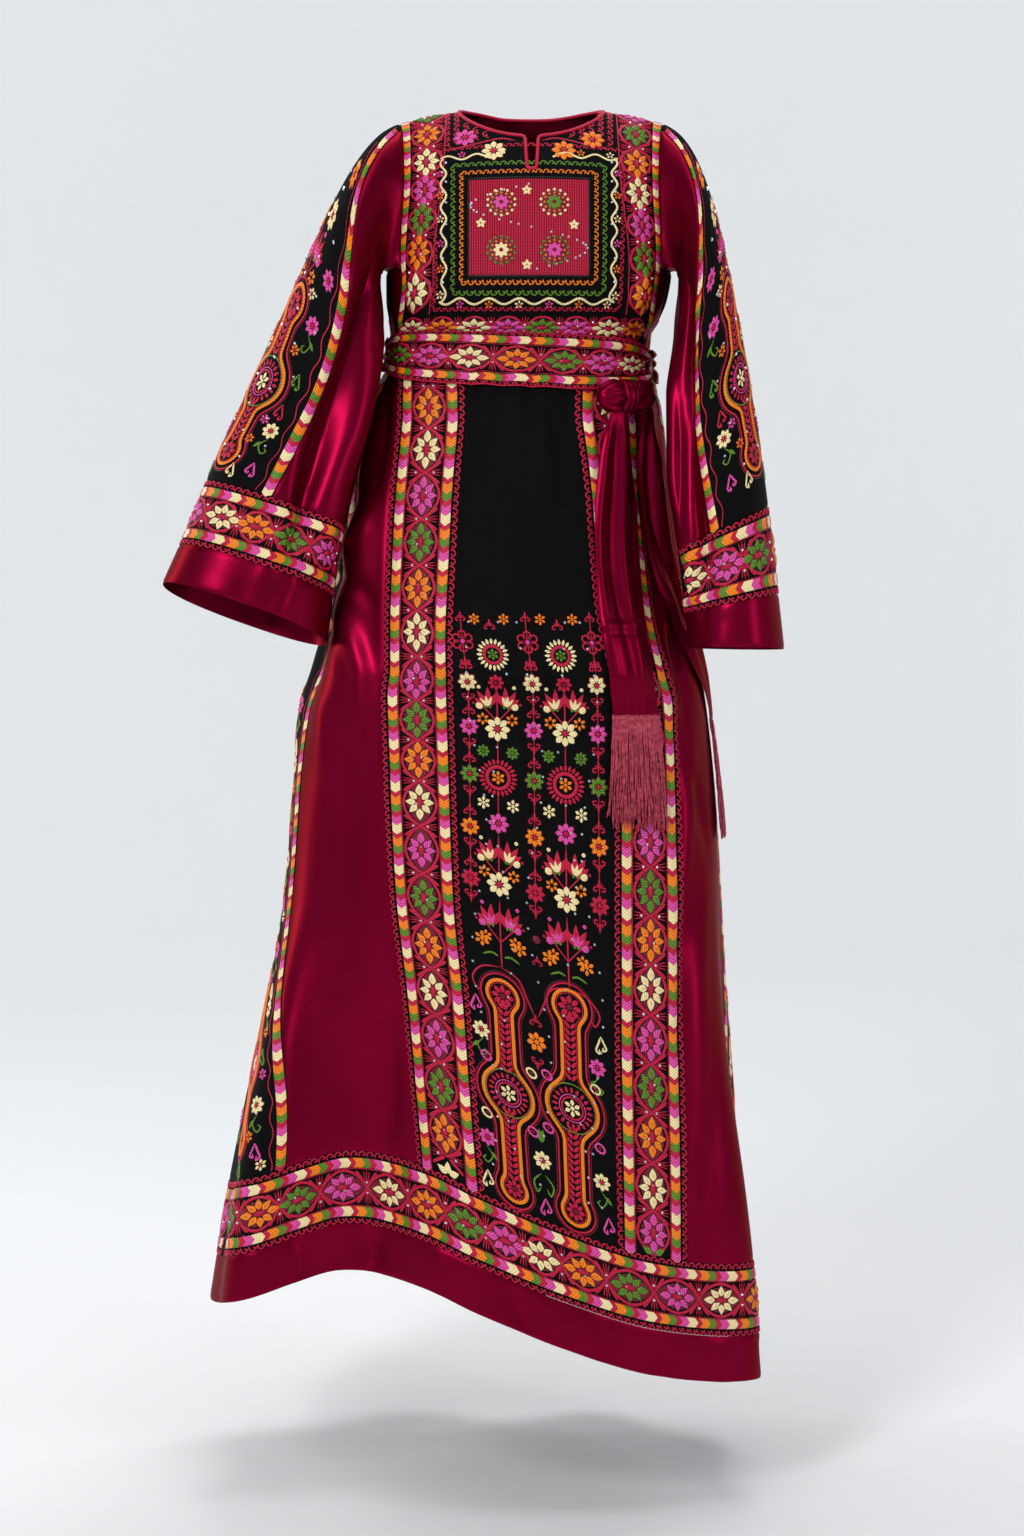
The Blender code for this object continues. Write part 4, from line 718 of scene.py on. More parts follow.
def makeBodyPanels():
    # Each panel: key, name, from and to down the cloth, its two seams, node, finish, slot, step.
    band = cloth["bandWidth"]
    skirt, flank = (waistDown, hemBandTop), (armpitRow, hemBandTop)
    bodice, trimSpan, border = (0, waistDown), (hemBandTop, hemBandFoot), (hemBandFoot, clothLength - 0.001)
    inner = lambda d: frontEdge(d) - band
    minus = lambda edge: lambda d: -edge(d)
    backNear, backFar = (lambda d: backEdge(d, 1)), (lambda d: backEdge(d, -1))
    seamFar = lambda d: body.girth(d) - sideSeam(d)
    rows = [
        ("chest", "chest", bodice, minus(frontEdge), frontEdge, "chest_panel", "crepe",
         "embroidered_crepe", 0.0045),
        ("front", "front", skirt, minus(inner), inner, "front_panel", "crepe", "crepe", 0.0055),
    ]
    for side, turn in sides:
        for key, name, span, near, far, node, finish, slot, step in (
            ("band", "band_", skirt, inner, frontEdge, "front_band_", "crepe", "embroidered_crepe", 0.005),
            ("satin", "satin_side_", flank, frontEdge, satinEdge, "side_front_", "satin", "satin", 0.005),
            ("gore", "gore_", flank, satinEdge, goreEdge, "side_gore_", "crepe", "crepe", 0.0064),
        ):
            if turn < 0:
                near, far = minus(far), minus(near)
            rows.append((key + side, name + side, span, near, far, node + side, finish, slot, step))
    rows += [
        ("backBodice", "back_upper", bodice, backNear, backFar, "back_bodice", "satin", "satin", 0.0055),
        ("backSkirt", "back_lower", skirt, backNear, backFar, "back_skirt", "satin", "satin", 0.0075),
    ]
    for part, near, far in (("front", minus(sideSeam), sideSeam), ("back", sideSeam, seamFar)):
        rows += [
            ("hemBand" + part, "hem_trim_" + part, trimSpan, near, far, "hem_band_" + part, "crepe",
             "embroidered_crepe", 0.005),
            ("hemBorder" + part, "hem_edge_" + part, border, near, far, "hem_border_" + part, "satin",
             "satin", 0.004),
        ]
    for key, name, span, near, far, node, finish, slot, step in rows:
        panels[key] = clothPanel(name, body, span, near, far, node, finishes[finish], slot, step)


def makeSleevePanels(side):
    # The strip on top ends at the armhole's seams and takes its own width by the blend's end.
    surface = sleeves[side]
    strip, length = columnsOf(stripRows), surface.length

    def stripEdge(start):
        blend = lambda a: 1 - ramp(a, 0, sleeveCut["blend"])
        return lambda a: smooth(strip[0], strip[1], a) + (start - strip[1][0]) * blend(a)

    surface.frontStrip, surface.backStrip = stripEdge(surface.frontStart), stripEdge(surface.backStart)
    surface.bandTop = 1 - (cloth["bandWidth"] + cloth["cuffBorder"]) / length
    surface.bandFoot = 1 - cloth["cuffBorder"] / length
    half, otherHalf = (lambda a: surface.girth(a) / 2), (lambda a: -surface.girth(a) / 2)
    frontStrip, backStrip = surface.frontStrip, lambda a: -surface.backStrip(a)
    arm, top, foot = (0, surface.bandTop), (surface.bandTop, surface.bandFoot), (surface.bandFoot, 1.0)
    for key, name, span, near, far, node, finish, slot, step in (
        ("sleeveback", "arm_back_", arm, otherHalf, backStrip, "sleeve_back_", "satin", "satin", 0.0052),
        ("sleevetop", "arm_top_", arm, backStrip, frontStrip, "sleeve_top_", "crepe", "crepe", 0.0052),
        ("sleevefront", "arm_front_", arm, frontStrip, half, "sleeve_front_", "satin", "satin", 0.0052),
        ("cuffBand", "cuff_trim_", top, otherHalf, half, "cuff_band_", "crepe", "embroidered_crepe", 0.0045),
        ("cuffBorder", "cuff_edge_", foot, otherHalf, half, "cuff_border_", "satin", "satin", 0.0045),
    ):
        panels[key + side] = clothPanel(
            name + side, surface, span, near, far, node + side, finishes[finish], slot, step, length
        )


makeBodyPanels()
for side in sleeves:
    makeSleevePanels(side)
print("cloth panels", len(panels))


def makeThread(name, colour, shade):
    # Rayon embroidery thread laid side by side: silky, so each stitch catches a thin light; the
    # gaps between stitches are painted shade, bands of the darker shade colour in the thread's colour.
    # Stitches are 0.45 mm wide and drawn at 1.1 mm so that they show.
    material, tree, shader = newMaterial(name, Roughness=0.5, Specular_IOR_Level=0.28)
    place = addNode(tree, "ShaderNodeUVMap", {"uv_map": "stitch"})
    laid = addNode(
        tree, "ShaderNodeTexWave", {"wave_type": "BANDS", "bands_direction": "DIAGONAL"},
        {"Vector": (place, "UV")}, Scale=200.0, Distortion=1.5, Detail=2.0, Detail_Scale=3.0,
    )
    # Painted shade: the wave bands mix the thread's colour with its shade colour between stitches.
    tone = addNode(tree, "ShaderNodeMix", {"data_type": "RGBA"}, {"Factor": (laid, "Fac")})
    tone.inputs[6].default_value = linear(shade)
    tone.inputs[7].default_value = linear(colour)
    tree.links.new(tone.outputs[2], shader.inputs["Base Color"])
    bump = addNode(tree, "ShaderNodeBump", None, {"Height": (laid, "Fac")}, Strength=0.35, Distance=0.0004)
    tree.links.new(bump.outputs["Normal"], shader.inputs["Normal"])
    return material


def makeStone(name):
    # Glass rhinestones with a bluish mirror coat: small, hard, bright points.
    material, tree, shader = newMaterial(name, Metallic=0.6, Roughness=0.12)
    place = addNode(tree, "ShaderNodeTexCoord")
    spots = addNode(tree, "ShaderNodeTexNoise", links={"Vector": (place, "Object")}, Scale=400.0)
    tone = addNode(tree, "ShaderNodeValToRGB", links={"Fac": (spots, "Fac")})
    tone.color_ramp.elements[0].color = linear("#9FD3E6")
    tone.color_ramp.elements[1].color = linear("#FFFFFF")
    tree.links.new(tone.outputs["Color"], shader.inputs["Base Color"])
    return material


# Each thread: its own colour, then the darker colour painted as shade in the gaps between its stitches.
threads = {
    "crimson": makeThread("crimsonRayonThread", "#DC0A40", "#8C022A"),
    "wine": makeThread("wineRayonThread", "#8E0A2E", "#480418"),
    "cream": makeThread("creamRayonThread", "#FBF0C0", "#E0C27C"),
    "orange": makeThread("orangeRayonThread", "#FF9416", "#D85E08"),
    "green": makeThread("greenRayonThread", "#6E9C24", "#335C12"),
    "pink": makeThread("pinkRayonThread", "#F45CB4", "#B02478"),
    "dark": makeThread("darkOutlineThread", "#1C0A10", "#0A0506"),
    "rust": makeThread("rustRayonThread", "#A8541A", "#6E2E0C"),
    "straw": makeThread("strawRayonThread", "#B8995A", "#7E6434"),
    "plum": makeThread("plumRayonThread", "#A03470", "#6A1C48"),
    "moss": makeThread("mossRayonThread", "#3C5820", "#1E3010"),
    "stone": makeStone("rhinestoneGlass"),
}
millimetre = 0.001
sunk = -0.15  # edges of the stitches lie this far, in mm, under the cloth's face


def ribbon(line, half, high=0.7, closed=False):
    # A strip along a line in millimetres: three points across, the middle one raised, the edges
    # sunk just under the cloth's face. Its UV is the distance along and across, in millimetres.
    line = np.asarray(line, float)
    if closed:
        tangent = np.roll(line, -1, axis=0) - np.roll(line, 1, axis=0)
    else:
        tangent = np.gradient(line, axis=0)
    tangent /= np.maximum(np.linalg.norm(tangent, axis=1, keepdims=True), 1e-9)
    side = np.stack([-tangent[:, 1], tangent[:, 0]], 1)
    half = np.broadcast_to(np.asarray(half, float), len(line))
    high = np.broadcast_to(np.asarray(high, float), len(line))
    across = np.array([-1.0, 0.0, 1.0])
    flat = line[:, None] + side[:, None] * (half[:, None] * across)[..., None]
    height = np.stack([sunk + 0 * high, high, sunk + 0 * high], 1)
    points = np.concatenate([flat, height[..., None]], 2)
    length = lengthsAlong(line)
    uv = np.stack([np.repeat(length[:, None], 3, 1), half[:, None] * across], 2)
    rows = len(line)
    i = np.arange(rows if closed else rows - 1)
    j = (i + 1) % rows
    faces = [np.stack([i * 3 + k, i * 3 + k + 1, j * 3 + k + 1, j * 3 + k], 1) for k in (0, 1)]
    return points.reshape(-1, 3), uv.reshape(-1, 2), np.concatenate(faces)


def joined(*shapes):
    # Several shapes as one.
    points, uv, faces, count = [], [], [], 0
    for p, t, f in shapes:
        points.append(p)
        uv.append(t)
        faces.append(f + count)
        count += len(p)
    return np.vstack(points), np.vstack(uv), np.vstack(faces)


def placed(shape, *places):
    # Copies of a shape, each at u and v, turned by an angle in degrees and scaled where these
    # are given: u' = scale (u cos - v sin), v' = scale (u sin + v cos).
    points, uv, faces = shape
    made = []
    for place in places:
        u, v, angle, scale = (*place, *(0, 1)[len(place) - 2 :])
        c, s = math.cos(math.radians(angle)) * scale, math.sin(math.radians(angle)) * scale
        across, along = points[:, 0] * c - points[:, 1] * s + u, points[:, 0] * s + points[:, 1] * c + v
        made.append((np.stack([across, along, points[:, 2]], 1), uv * scale, faces))
    return joined(*made)


def allRound(shape, count):
    # Copies of a shape turned evenly about the centre.
    angles = np.linspace(0, 2 * math.pi, count, endpoint=False)
    return placed(shape, *[(0, 0, math.degrees(a)) for a in angles])


def mirrored(shape):
    # The shape with left and right changed over.
    points, uv, faces = shape
    return points * np.array([-1, 1, 1]), uv, faces[:, ::-1]


def petal(length, width, start=0.0, high=0.8, bluntness=0.8, steps=6, pointed=False):
    # A leaf pointing up (towards -v), from start outwards. Half its width is a sine to the power
    # 0.75; a pointed one swells to 0.4 of its length, then narrows as 1 - s to the power 1.6.
    t = np.linspace(0, 1, steps + 1)
    half = width / 2 * np.sin(math.pi * t**bluntness).clip(0) ** 0.75
    if pointed:
        swell = np.sin(math.pi * t.clip(0, 0.4) / 0.8) ** 0.8
        half = width / 2 * np.where(t < 0.4, swell, 1 - ((t - 0.4).clip(0) / 0.6) ** 1.6)
    half[0] = half[-1] = 0.06
    return ribbon(np.stack([0 * t, -start - t * length], 1), half, high * np.sin(math.pi * t) ** 0.5)


def ring(radiusU, radiusV, half, high=0.7, steps=20):
    # A closed strip along the ellipse radiusU cos a, radiusV sin a.
    a = np.linspace(0, 2 * math.pi, steps, endpoint=False)
    return ribbon(np.stack([radiusU * np.cos(a), radiusV * np.sin(a)], 1), half, high, closed=True)


def disc(radiusU, radiusV, high=0.5, steps=14):
    # A low dome: two rings about a small middle ring.
    a = np.linspace(0, 2 * math.pi, steps, endpoint=False)
    unit = np.stack([np.cos(a), np.sin(a)], 1)
    points = np.vstack([
        np.column_stack([unit * (radiusU * share, radiusV * share), np.full(steps, height)])
        for share, height in ((0.04, high), (0.62, high * 0.8), (1.0, sunk))
    ])
    return points, points[:, :2].copy(), gridFaces(3, steps, False, True)


def curve(points, half, high=0.6, steps=12, taper=True):
    # A stroke along a Catmull-Rom curve through the points, narrowing to its ends: between b and
    # c it is half of 2b + (c - a) f + (2a - 5b + 4c - d) f squared + (3b - a - 3c + d) f cubed.
    p = np.asarray(points, float)
    p = np.vstack([2 * p[0] - p[1], p, 2 * p[-1] - p[-2]])
    t = np.linspace(0, len(points) - 1 - 1e-9, steps + 1)
    i = t.astype(int)
    f = (t - i)[:, None]
    a, b, c, d = p[i], p[i + 1], p[i + 2], p[i + 3]
    line = 2 * b + (c - a) * f + (2 * a - 5 * b + 4 * c - d) * f**2 + (3 * b - a - 3 * c + d) * f**3
    s = np.linspace(0, 1, steps + 1)
    width = half * (np.minimum(1, np.minimum(s, 1 - s) * 5 + 0.25) if taper else 1)
    return ribbon(0.5 * line, width, high)


class Needlework:
    # Embroidery for one piece: shapes in millimetres by thread, laid on a surface at the end.
    # Its layout turns u and v in metres into distances down and round. The surface's rows are
    # shares of scale.

    def __init__(self, name, surface, layout, scale=1.0):
        self.name, self.surface, self.layout, self.scale = name, surface, layout, scale
        self.parts = []

    def add(self, thread, shape, lift=0.0):
        points, uv, faces = shape
        down, around = self.layout(points[:, 0] * millimetre, points[:, 1] * millimetre)
        self.parts.append((thread, down, around, points[:, 2] * millimetre + lift, uv * millimetre, faces))

    def sew(self, thread, shape, *places, lift=0.0):
        self.add(thread, placed(shape, *places), lift)

    def make(self, on):
        # One mesh with a slot for each thread, kept in a list under the panel that carries it.
        names = sorted({part[0] for part in self.parts})
        count, points, uvs, faces, slots = 0, [], [], [], []
        for thread, down, around, height, uv, face in self.parts:
            points.append(np.stack([down, around, height], 1))
            uvs.append(uv)
            faces.append(face + count)
            slots.append(np.full(len(face), names.index(thread)))
            count += len(uv)
        flat, faces = np.vstack(points), np.vstack(faces)
        place, normal = self.surface.read(flat[:, 0] / self.scale, flat[:, 1])
        laid = place + normal * (cloth["face"] + flat[:, 2:3])
        corners = laid[faces]
        out = np.cross(corners[:, 2] - corners[:, 0], corners[:, 3] - corners[:, 1])
        inward = np.einsum("ij,ij->i", out, normal[faces[:, 0]]) < 0
        faces[inward] = faces[inward][:, ::-1]
        used = [threads[thread] for thread in names]
        made = meshObject(self.name, laid, faces, used, np.concatenate(slots), np.vstack(uvs), 0)
        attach(made, "root")
        stitched.setdefault(on, []).append(made)
        return made


stitched = {}


def lens(halfU, halfV, high=0.3, columns=7, rows=11):
    # A filled pointed oval: half its width at v is halfU * cos(pi v / 2 halfV) to the power 0.75.
    t = np.linspace(-1, 1, rows)[:, None]
    across = np.linspace(-1, 1, columns)[None]
    half = np.maximum(halfU * np.cos(t * math.pi / 2).clip(0) ** 0.75, 0.05)
    height = high - (high - sunk) * (abs(across) > 0.99) + 0 * t
    points = np.stack([half * across, halfV * t + 0 * across, height], 2).reshape(-1, 3)
    return points, points[:, :2].copy(), gridFaces(rows, columns)


def straight(u, start, end, steps, half, high):
    # A plain line of stitches along v.
    return ribbon(np.stack([np.full(steps, u), np.linspace(start, end, steps)], 1), half, high)


# The satin-stitch cord: threads with their lengths at its usual half width, heights, dip of its V's.
cord = {
    "order": (
        ("crimson", 6.5), ("pink", 9.5), ("cream", 11.0), ("crimson", 6.0), ("orange", 10.0), ("green", 8.5),
    ),
    "across": (-1, -0.55, 0, 0.55, 1), "heights": (sunk, 1.1, 1.1 * 0.7, 1.1, sunk), "dip": 4.0, "usual": 5.8,
}


def chevronCord(work, u, start, end, half=5.4):
    # Two slanting halves that meet in V's: a point at across x lies dip (1 - |x|) further on.
    across, heights = np.array(cord["across"]), np.array(cord["heights"])
    dips = cord["dip"] * (1 - abs(across)) * half / cord["usual"]
    place, step = start, 0
    while place < end:
        thread, length = cord["order"][step % len(cord["order"])]
        stop = min(place + length * half / cord["usual"], end)
        rows = max(int((stop - place) / 3), 1) + 1
        v = np.linspace(place, stop, rows)[:, None]
        points = np.stack([u + half * across + 0 * v, v + dips, heights + 0 * v], 2).reshape(-1, 3)
        uv = np.stack([points[:, 1], abs(points[:, 0] - u)], 1)
        work.add(thread, (points, uv, gridFaces(rows, len(across))))
        place, step = stop, step + 1


scrollUnit = joined(
    curve([(-2.9, -4.6), (1.2, -4.0), (2.9, -1.2), (1.0, 1.6), (-1.2, 0.2), (0.2, -1.0)], 0.8, 0.6, 11),
    curve([(2.6, 0.2), (0.0, 2.6), (-2.9, 4.2)], 0.7, 0.5, 4),
)


def scrollLine(work, u, start, end, turn=1, thread="crimson", scale=1.0):
    # Scrolls 8.6 mm apart in a row along v.
    count = max(int((end - start) / (8.6 * scale)), 1)
    places = [(u, start + (i + 0.5) * (end - start) / count, 0, scale) for i in range(count)]
    work.sew(thread, scrollUnit if turn > 0 else mirrored(scrollUnit), *places)


# The woven trim. Its petals: turns, how far the tip stands from the centre, length, width.
trim = {
    "petals": (
        ((0, 180), 20.6, 13.0, 7.8), ((90, 270), 15.2, 11.0, 7.2), ((42, 138, 222, 318), 16.2, 11.8, 7.0),
    ),
    "filling": 15.2, "rim": 17.4, "edge": 19.6, "cord": 25.6, "scroll": 34.9,
    "hearts": {"orange": "rust", "cream": "straw", "pink": "plum", "green": "moss"},
}
cycle = ["orange", "cream", "pink", "green"]


def makeTrimFlower():
    # Every petal in three layers: a dark one below, its own colour, and a thin heart.
    made = {"dark": [], "petal": [], "heart": []}
    for turns, tip, length, width in trim["petals"]:
        start = tip - length
        for key, shape in (
            ("dark", petal(length + 2.4, width + 2.2, start - 0.6, 0.3, 0.8, 8, True)),
            ("petal", petal(length, width, start, 1.1, 0.8, 8, True)),
            ("heart", petal(length * 0.34, width * 0.16, start + length * 0.26, 0.6, 1.0, 4)),
        ):
            made[key].append(placed(shape, *[(0, 0, angle) for angle in turns]))
    return {key: joined(*shapes) for key, shapes in made.items()}


trimFlower = makeTrimFlower()
clubLeaf = curve([(2.2, 1.4), (8.0, 5.0), (13.0, 8.6), (17.0, 11.6)], 1.9, 0.9, 6)
thinRays = joined(*[
    curve(ray, 0.7, 0.6, 4)
    for ray in (
        [(4.0, 0.8), (10.0, 2.0), (17.5, 3.4)], [(3.6, 0.0), (11.0, 0.0), (18.5, 0.0)],
        [(4.0, -0.8), (10.0, -2.0), (17.5, -3.4)],
    )
])
# Between two flowers: leaves and rays to both sides, and the leaves again the other way up.
crossing = joined(
    clubLeaf, mirrored(clubLeaf), thinRays, mirrored(thinRays),
    *[(s[0] * np.array([1, -1, 1]), s[1], s[2][:, ::-1]) for s in (clubLeaf, mirrored(clubLeaf))],
)


def cycled(first, count):
    return [cycle[(first + i) % 4] for i in range(count)]


def embroiderTrim(work, places, colours, start, end, cords=True):
    # Flowers in pointed ovals between two chevron cords and two scroll lines; u goes across the
    # trim and v along it. A rim stands off by its half width times cos(pi t / 2) to the power 0.75.
    places = np.asarray(places, float)
    gaps = np.diff(places)
    before = np.concatenate([[gaps[0]], gaps]) / 2
    after = np.concatenate([gaps, [gaps[-1]]]) / 2
    t = np.linspace(-1, 1, 15)
    ovals, rims = [], []
    for v, low, high, colour in zip(places, before, after, colours):
        size = (low + high) / 2
        middle = v + (high - low) / 2
        ovals.append(placed(lens(trim["filling"], size * 0.93, 0.35), (0, middle)))
        for side in (-1, 1):
            line = np.stack([side * (trim["rim"] * np.cos(t * math.pi / 2) ** 0.75), middle + size * t], 1)
            rims.append(ribbon(line, 1.7, 0.85))
        work.sew(colour, trimFlower["petal"], (0, v), lift=0.0008)
        work.sew(trim["hearts"][colour], trimFlower["heart"], (0, v), lift=0.0016)
    centres = [(0, v) for v in places]
    work.add("wine", joined(*ovals))
    work.add("crimson", joined(*rims))
    work.sew("dark", trimFlower["dark"], *centres, lift=0.0004)
    work.sew("crimson", disc(2.6, 5.2, 1.3), *centres, lift=0.0008)
    middles = [places[0] - before[0], *((places[1:] + places[:-1]) / 2), places[-1] + after[-1]]
    middles = [m for m in middles if start + 4 < m < end - 4]
    work.sew("crimson", crossing, *[(0, m) for m in middles])
    stones = [(side * (5.5 + 4.5 * ((i * 7) % 3) / 2), m) for i, m in enumerate(middles) for side in (-1, 1)]
    stones += [((i % 3 - 1) * 3.5, v - 3 + (i % 2) * 5) for i, v in enumerate(places)]
    work.sew("stone", disc(1.5, 1.5, 1.9, 8), *stones)
    if cords:
        for side in (-1, 1):
            chevronCord(work, side * trim["cord"], start, end)
            work.add("crimson", straight(side * trim["edge"], start, end, 60, 0.5, 0.5))
            scrollLine(work, side * trim["scroll"], start, end, side)


# The flowers of each front band, of the hem and of each cuff: places, and the first one's colour.
bandFlowers = {
    "left": (
        (376.6, 421.8, 470.0, 518.2, 566.4, 611.6, 662.8, 706, 750.2, 798, 852.7, 906.9, 961.1, 1012.3,
         1063.6, 1114.8, 1163), 0,
    ),
    "right": (
        (373, 421, 470, 518, 567, 616, 665, 714.1, 762.3, 810.5, 855.7, 900.9, 946.1, 994.3, 1039.5,
         1087.7, 1138.9, 1184), 1,
    ),
}
hem = {
    "places": (-326.8, -286.7, -238, -184, -134, -89, -48.5, -12.9, 30.8, 79.2, 132.3, 184.5, 235),
    "colours": ("orange", "green", "pink", "cream"), "step": 50.0,
}
cuffFlowers = {
    "left": ((190.5, 145.9, 107.2, 71.7, 26, -22, -70, -118, -166, -213), 2),
    "right": ((141.3, 96.1, 60.6, 12, -37, -86, -135), 1),
}


def makeBands():
    foot = hemBandTop / millimetre
    cutPetal = petal(12, 7.4, 1.5, 1.0, 0.8, 8, True)
    for side, turn in sides:
        layout = lambda u, v: (v, turn * (frontEdge(v) - cloth["bandWidth"] / 2) + u)
        work = Needlework("embroidery_band_" + side, body, layout)
        places, first = bandFlowers[side]
        colours = cycled(first, len(places) + 1)
        embroiderTrim(work, places, colours, waistDown / millimetre + 1, foot - 1)
        # The next flower is cut off by the hem's trim.
        work.sew(colours[-1], cutPetal, *[(0, foot - 2, angle) for angle in (-62, 0, 62)], lift=0.0003)
        work.make("band" + side)


def makeHem():
    middle = (hemBandTop + hemBandFoot) / 2
    seam = float(sideSeam(middle)) / millimetre

    def onward(last):
        # Flowers go on from the last one seen, so that the seam falls half a step past them.
        count = max(round((seam - last) / hem["step"] - 0.5), 1)
        return [last + (i + 1) * (seam - last) / (count + 0.5) for i in range(count)]

    shown = list(hem["places"])
    left = [-place for place in onward(-shown[0])][::-1]
    places = left + shown + onward(shown[-1])
    colours = [
        (hem["colours"] if 0 <= k < len(shown) else cycle)[k % 4]
        for k in range(-len(left), len(places) - len(left))
    ]
    layout = lambda u, v: (middle - u, v)
    work = Needlework("embroidery_hem_front", body, layout)
    embroiderTrim(work, places, colours, -seam + 1, seam - 1)
    for turn in (-1, 1):
        # Overcast stitches hold the two halves of the hem together at the side seams.
        work.layout = lambda u, v: (v, turn * sideSeam(v) + u)
        work.add("wine", straight(0, hemBandTop / millimetre + 1, clothLength / millimetre - 1, 50, 1.1, 0.5))
    work.make("hemBandfront")
    back = float(body.girth(middle)) / millimetre - 2 * seam
    count = int(round(back / hem["step"]))
    places = seam + (np.arange(count) + 0.5) * back / count
    work = Needlework("embroidery_hem_back", body, layout)
    embroiderTrim(work, places, cycled(0, count), seam + 1, seam + back - 1)
    work.make("hemBandback")


def makeCuffs():
    for side, (places, first) in cuffFlowers.items():
        surface = sleeves[side]
        middle = (surface.bandTop + surface.bandFoot) / 2 * surface.length
        half = float(surface.girth(0.85)) / 2 / millimetre
        work = Needlework("embroidery_cuff_" + side, surface, lambda u, v: (middle - u, v), surface.length)
        embroiderTrim(work, sorted(places), cycled(first, len(places))[::-1], -half + 1, half - 1)
        work.make("cuffBand" + side)


def daisy(work, u, v, thread, radius, petals=8, centre="crimson", outline="dark"):
    # A round flower: an outline under each petal, the petals, and a centre knot.
    length = radius * 0.74
    width = min(radius * 1.28 * math.sin(math.pi / petals), radius * 0.52)
    start = radius - length
    if outline:
        rim = petal(length + radius * 0.14, width + radius * 0.16, start - radius * 0.03, 0.4, 1.15, 6)
        work.sew(outline, allRound(rim, petals), (u, v))
    leaf = petal(length, width, start, 1.0, 1.15, 6)
    work.sew(thread, allRound(leaf, petals), (u, v), lift=0.0003 if outline else 0.0)
    if centre:
        work.sew(centre, disc(radius * 0.24, radius * 0.24, 1.0, 10), (u, v), lift=0.0005)


def button(work, u, v, thread, radius):
    # A small flower of six petals in one colour with its centre.
    daisy(work, u, v, thread, radius, 6, thread, None)


finialShape = joined(
    petal(6.5, 2.4, 0.5, 0.8, 0.9, 5),
    *[
        curve([(s * 0.4, 0), (s * 3.6, -0.6), (s * 4.8, 1.8), (s * 2.9, 2.8), (s * 2.0, 1.4)], 0.75, 0.6, 8)
        for s in (-1, 1)
    ],
    curve([(-3.0, -2.8), (0, -1.0), (3.0, -2.8)], 0.7, 0.6, 5),
)


def finial(work, u, v, angle=0, scale=1.0):
    work.sew("crimson", finialShape, (u, v, angle, scale))


def stroke(work, thread, points, half=0.8, high=0.6, steps=None, taper=True):
    work.add(thread, curve(points, half, high, steps or 4 * len(points), taper))


def dots(work, thread, places, radius, high=1.2):
    work.sew(thread, disc(radius, radius, high, 10), *places)


def tulips(work, u, v, light, small):
    # A stem with a pair of tulips, a dot on each side and two small flowers below.
    stroke(work, "crimson", [(u, v - 24), (u, v + 24)], 0.9)
    for s in (-1, 1):
        stroke(work, "crimson", [(u, v + 20), (u + s * 7, v + 12), (u + s * 17, v + 1)])
        for angle, length in ((-30, 20), (0, 23), (30, 21), (54, 17)):
            work.sew("crimson", petal(length, 8.2, 1, 0.9, 0.9, 7, True), (u + s * 9, v + 5, s * angle))
        for angle in (-16, 12, 40):
            work.sew(light, petal(11.5, 3.4, 1, 1.0), (u + s * 9, v + 4, s * angle), lift=0.0008)
        dots(work, light, [(u + s * 18, v - 18)], 2.2)
        dots(work, light, [(u + s * 18, v + 3)], 4.2)
        dots(work, "crimson", [(u + s * 24, v + 0.5)], 1.6)
        work.sew("green", petal(8, 3.0, 0, 1.0), (u + s * 7, v + 6, s * 10), (u + s * 9, v + 5, s * 62))
        daisy(work, u + s * 15, v + 17, small, 6.6, 6, None, None)


def keyhole(work, u, top, middle, foot, widths, lean=0.0):
    # Three circles joined by necks, outlined by a thick orange cord and thin crimson ones.
    # Its half width is the largest of the circles' chords and the necks' half width.
    circles = ((top, widths[0]), (middle, widths[1]), (foot, widths[2]))
    above, below = top - widths[0], foot + widths[2]
    shift = lambda v: u + lean * (v - middle)
    for grow, thread, half, high in (
        (0, "orange", 1.9, 1.6), (6.5, "crimson", 1.0, 0.9), (-3.0, "crimson", 0.5, 0.5),
        (8.8, "wine", 0.5, 0.5),
    ):
        turn = np.linspace(-math.pi / 2, math.pi / 2, 60)
        t = (above + below) / 2 + ((below - above) / 2 + grow) * np.sin(turn)
        wide = np.where((t > top) & (t < foot), widths[3] + grow, 0)
        for centre, radius in circles:
            wide = np.maximum(wide, np.sqrt(np.maximum((radius + grow) ** 2 - (t - centre) ** 2, 0)))
        line = np.concatenate([np.stack([wide, t], 1), np.stack([-wide[::-1], t[::-1]], 1)])
        line[:, 0] += u + lean * (line[:, 1] - middle)
        line = 0.25 * np.roll(line, 1, axis=0) + 0.5 * line + 0.25 * np.roll(line, -1, axis=0)
        work.add(thread, ribbon(line, half, high, closed=True))
    daisy(work, shift(top), top, "crimson", widths[0] * 0.72, 8, "wine", None)
    daisy(work, shift(foot), foot, "crimson", widths[2] * 0.7, 8, "wine", None)
    radius = widths[1]
    rays = allRound(petal(radius * 0.24, radius * 0.13, radius * 0.55, 0.9, 0.8, 5), 20)
    work.sew("green", ring(radius * 0.9, radius * 0.9, 0.7, 0.8, 40), (u, middle))
    work.sew("crimson", rays, (u, middle))
    work.sew("pink", ring(radius * 0.5, radius * 0.5, 0.6, 0.8, 28), (u, middle))
    work.sew("crimson", ring(radius * 0.4, radius * 0.4, 1.0, 0.8, 24), (u, middle))
    button(work, u, middle, "cream", radius * 0.33)
    necks = ((top + widths[0], middle - radius), (middle + radius, foot - widths[2]))
    chain = [
        (shift(v), v, angle)
        for low, high in necks for v in np.arange(low - 2, high + 6, 6.5) for angle in (-38, 38)
    ]
    if chain:
        work.sew("crimson", petal(9, 4.2, 0.5, 0.7, 0.8, 5), *chain)


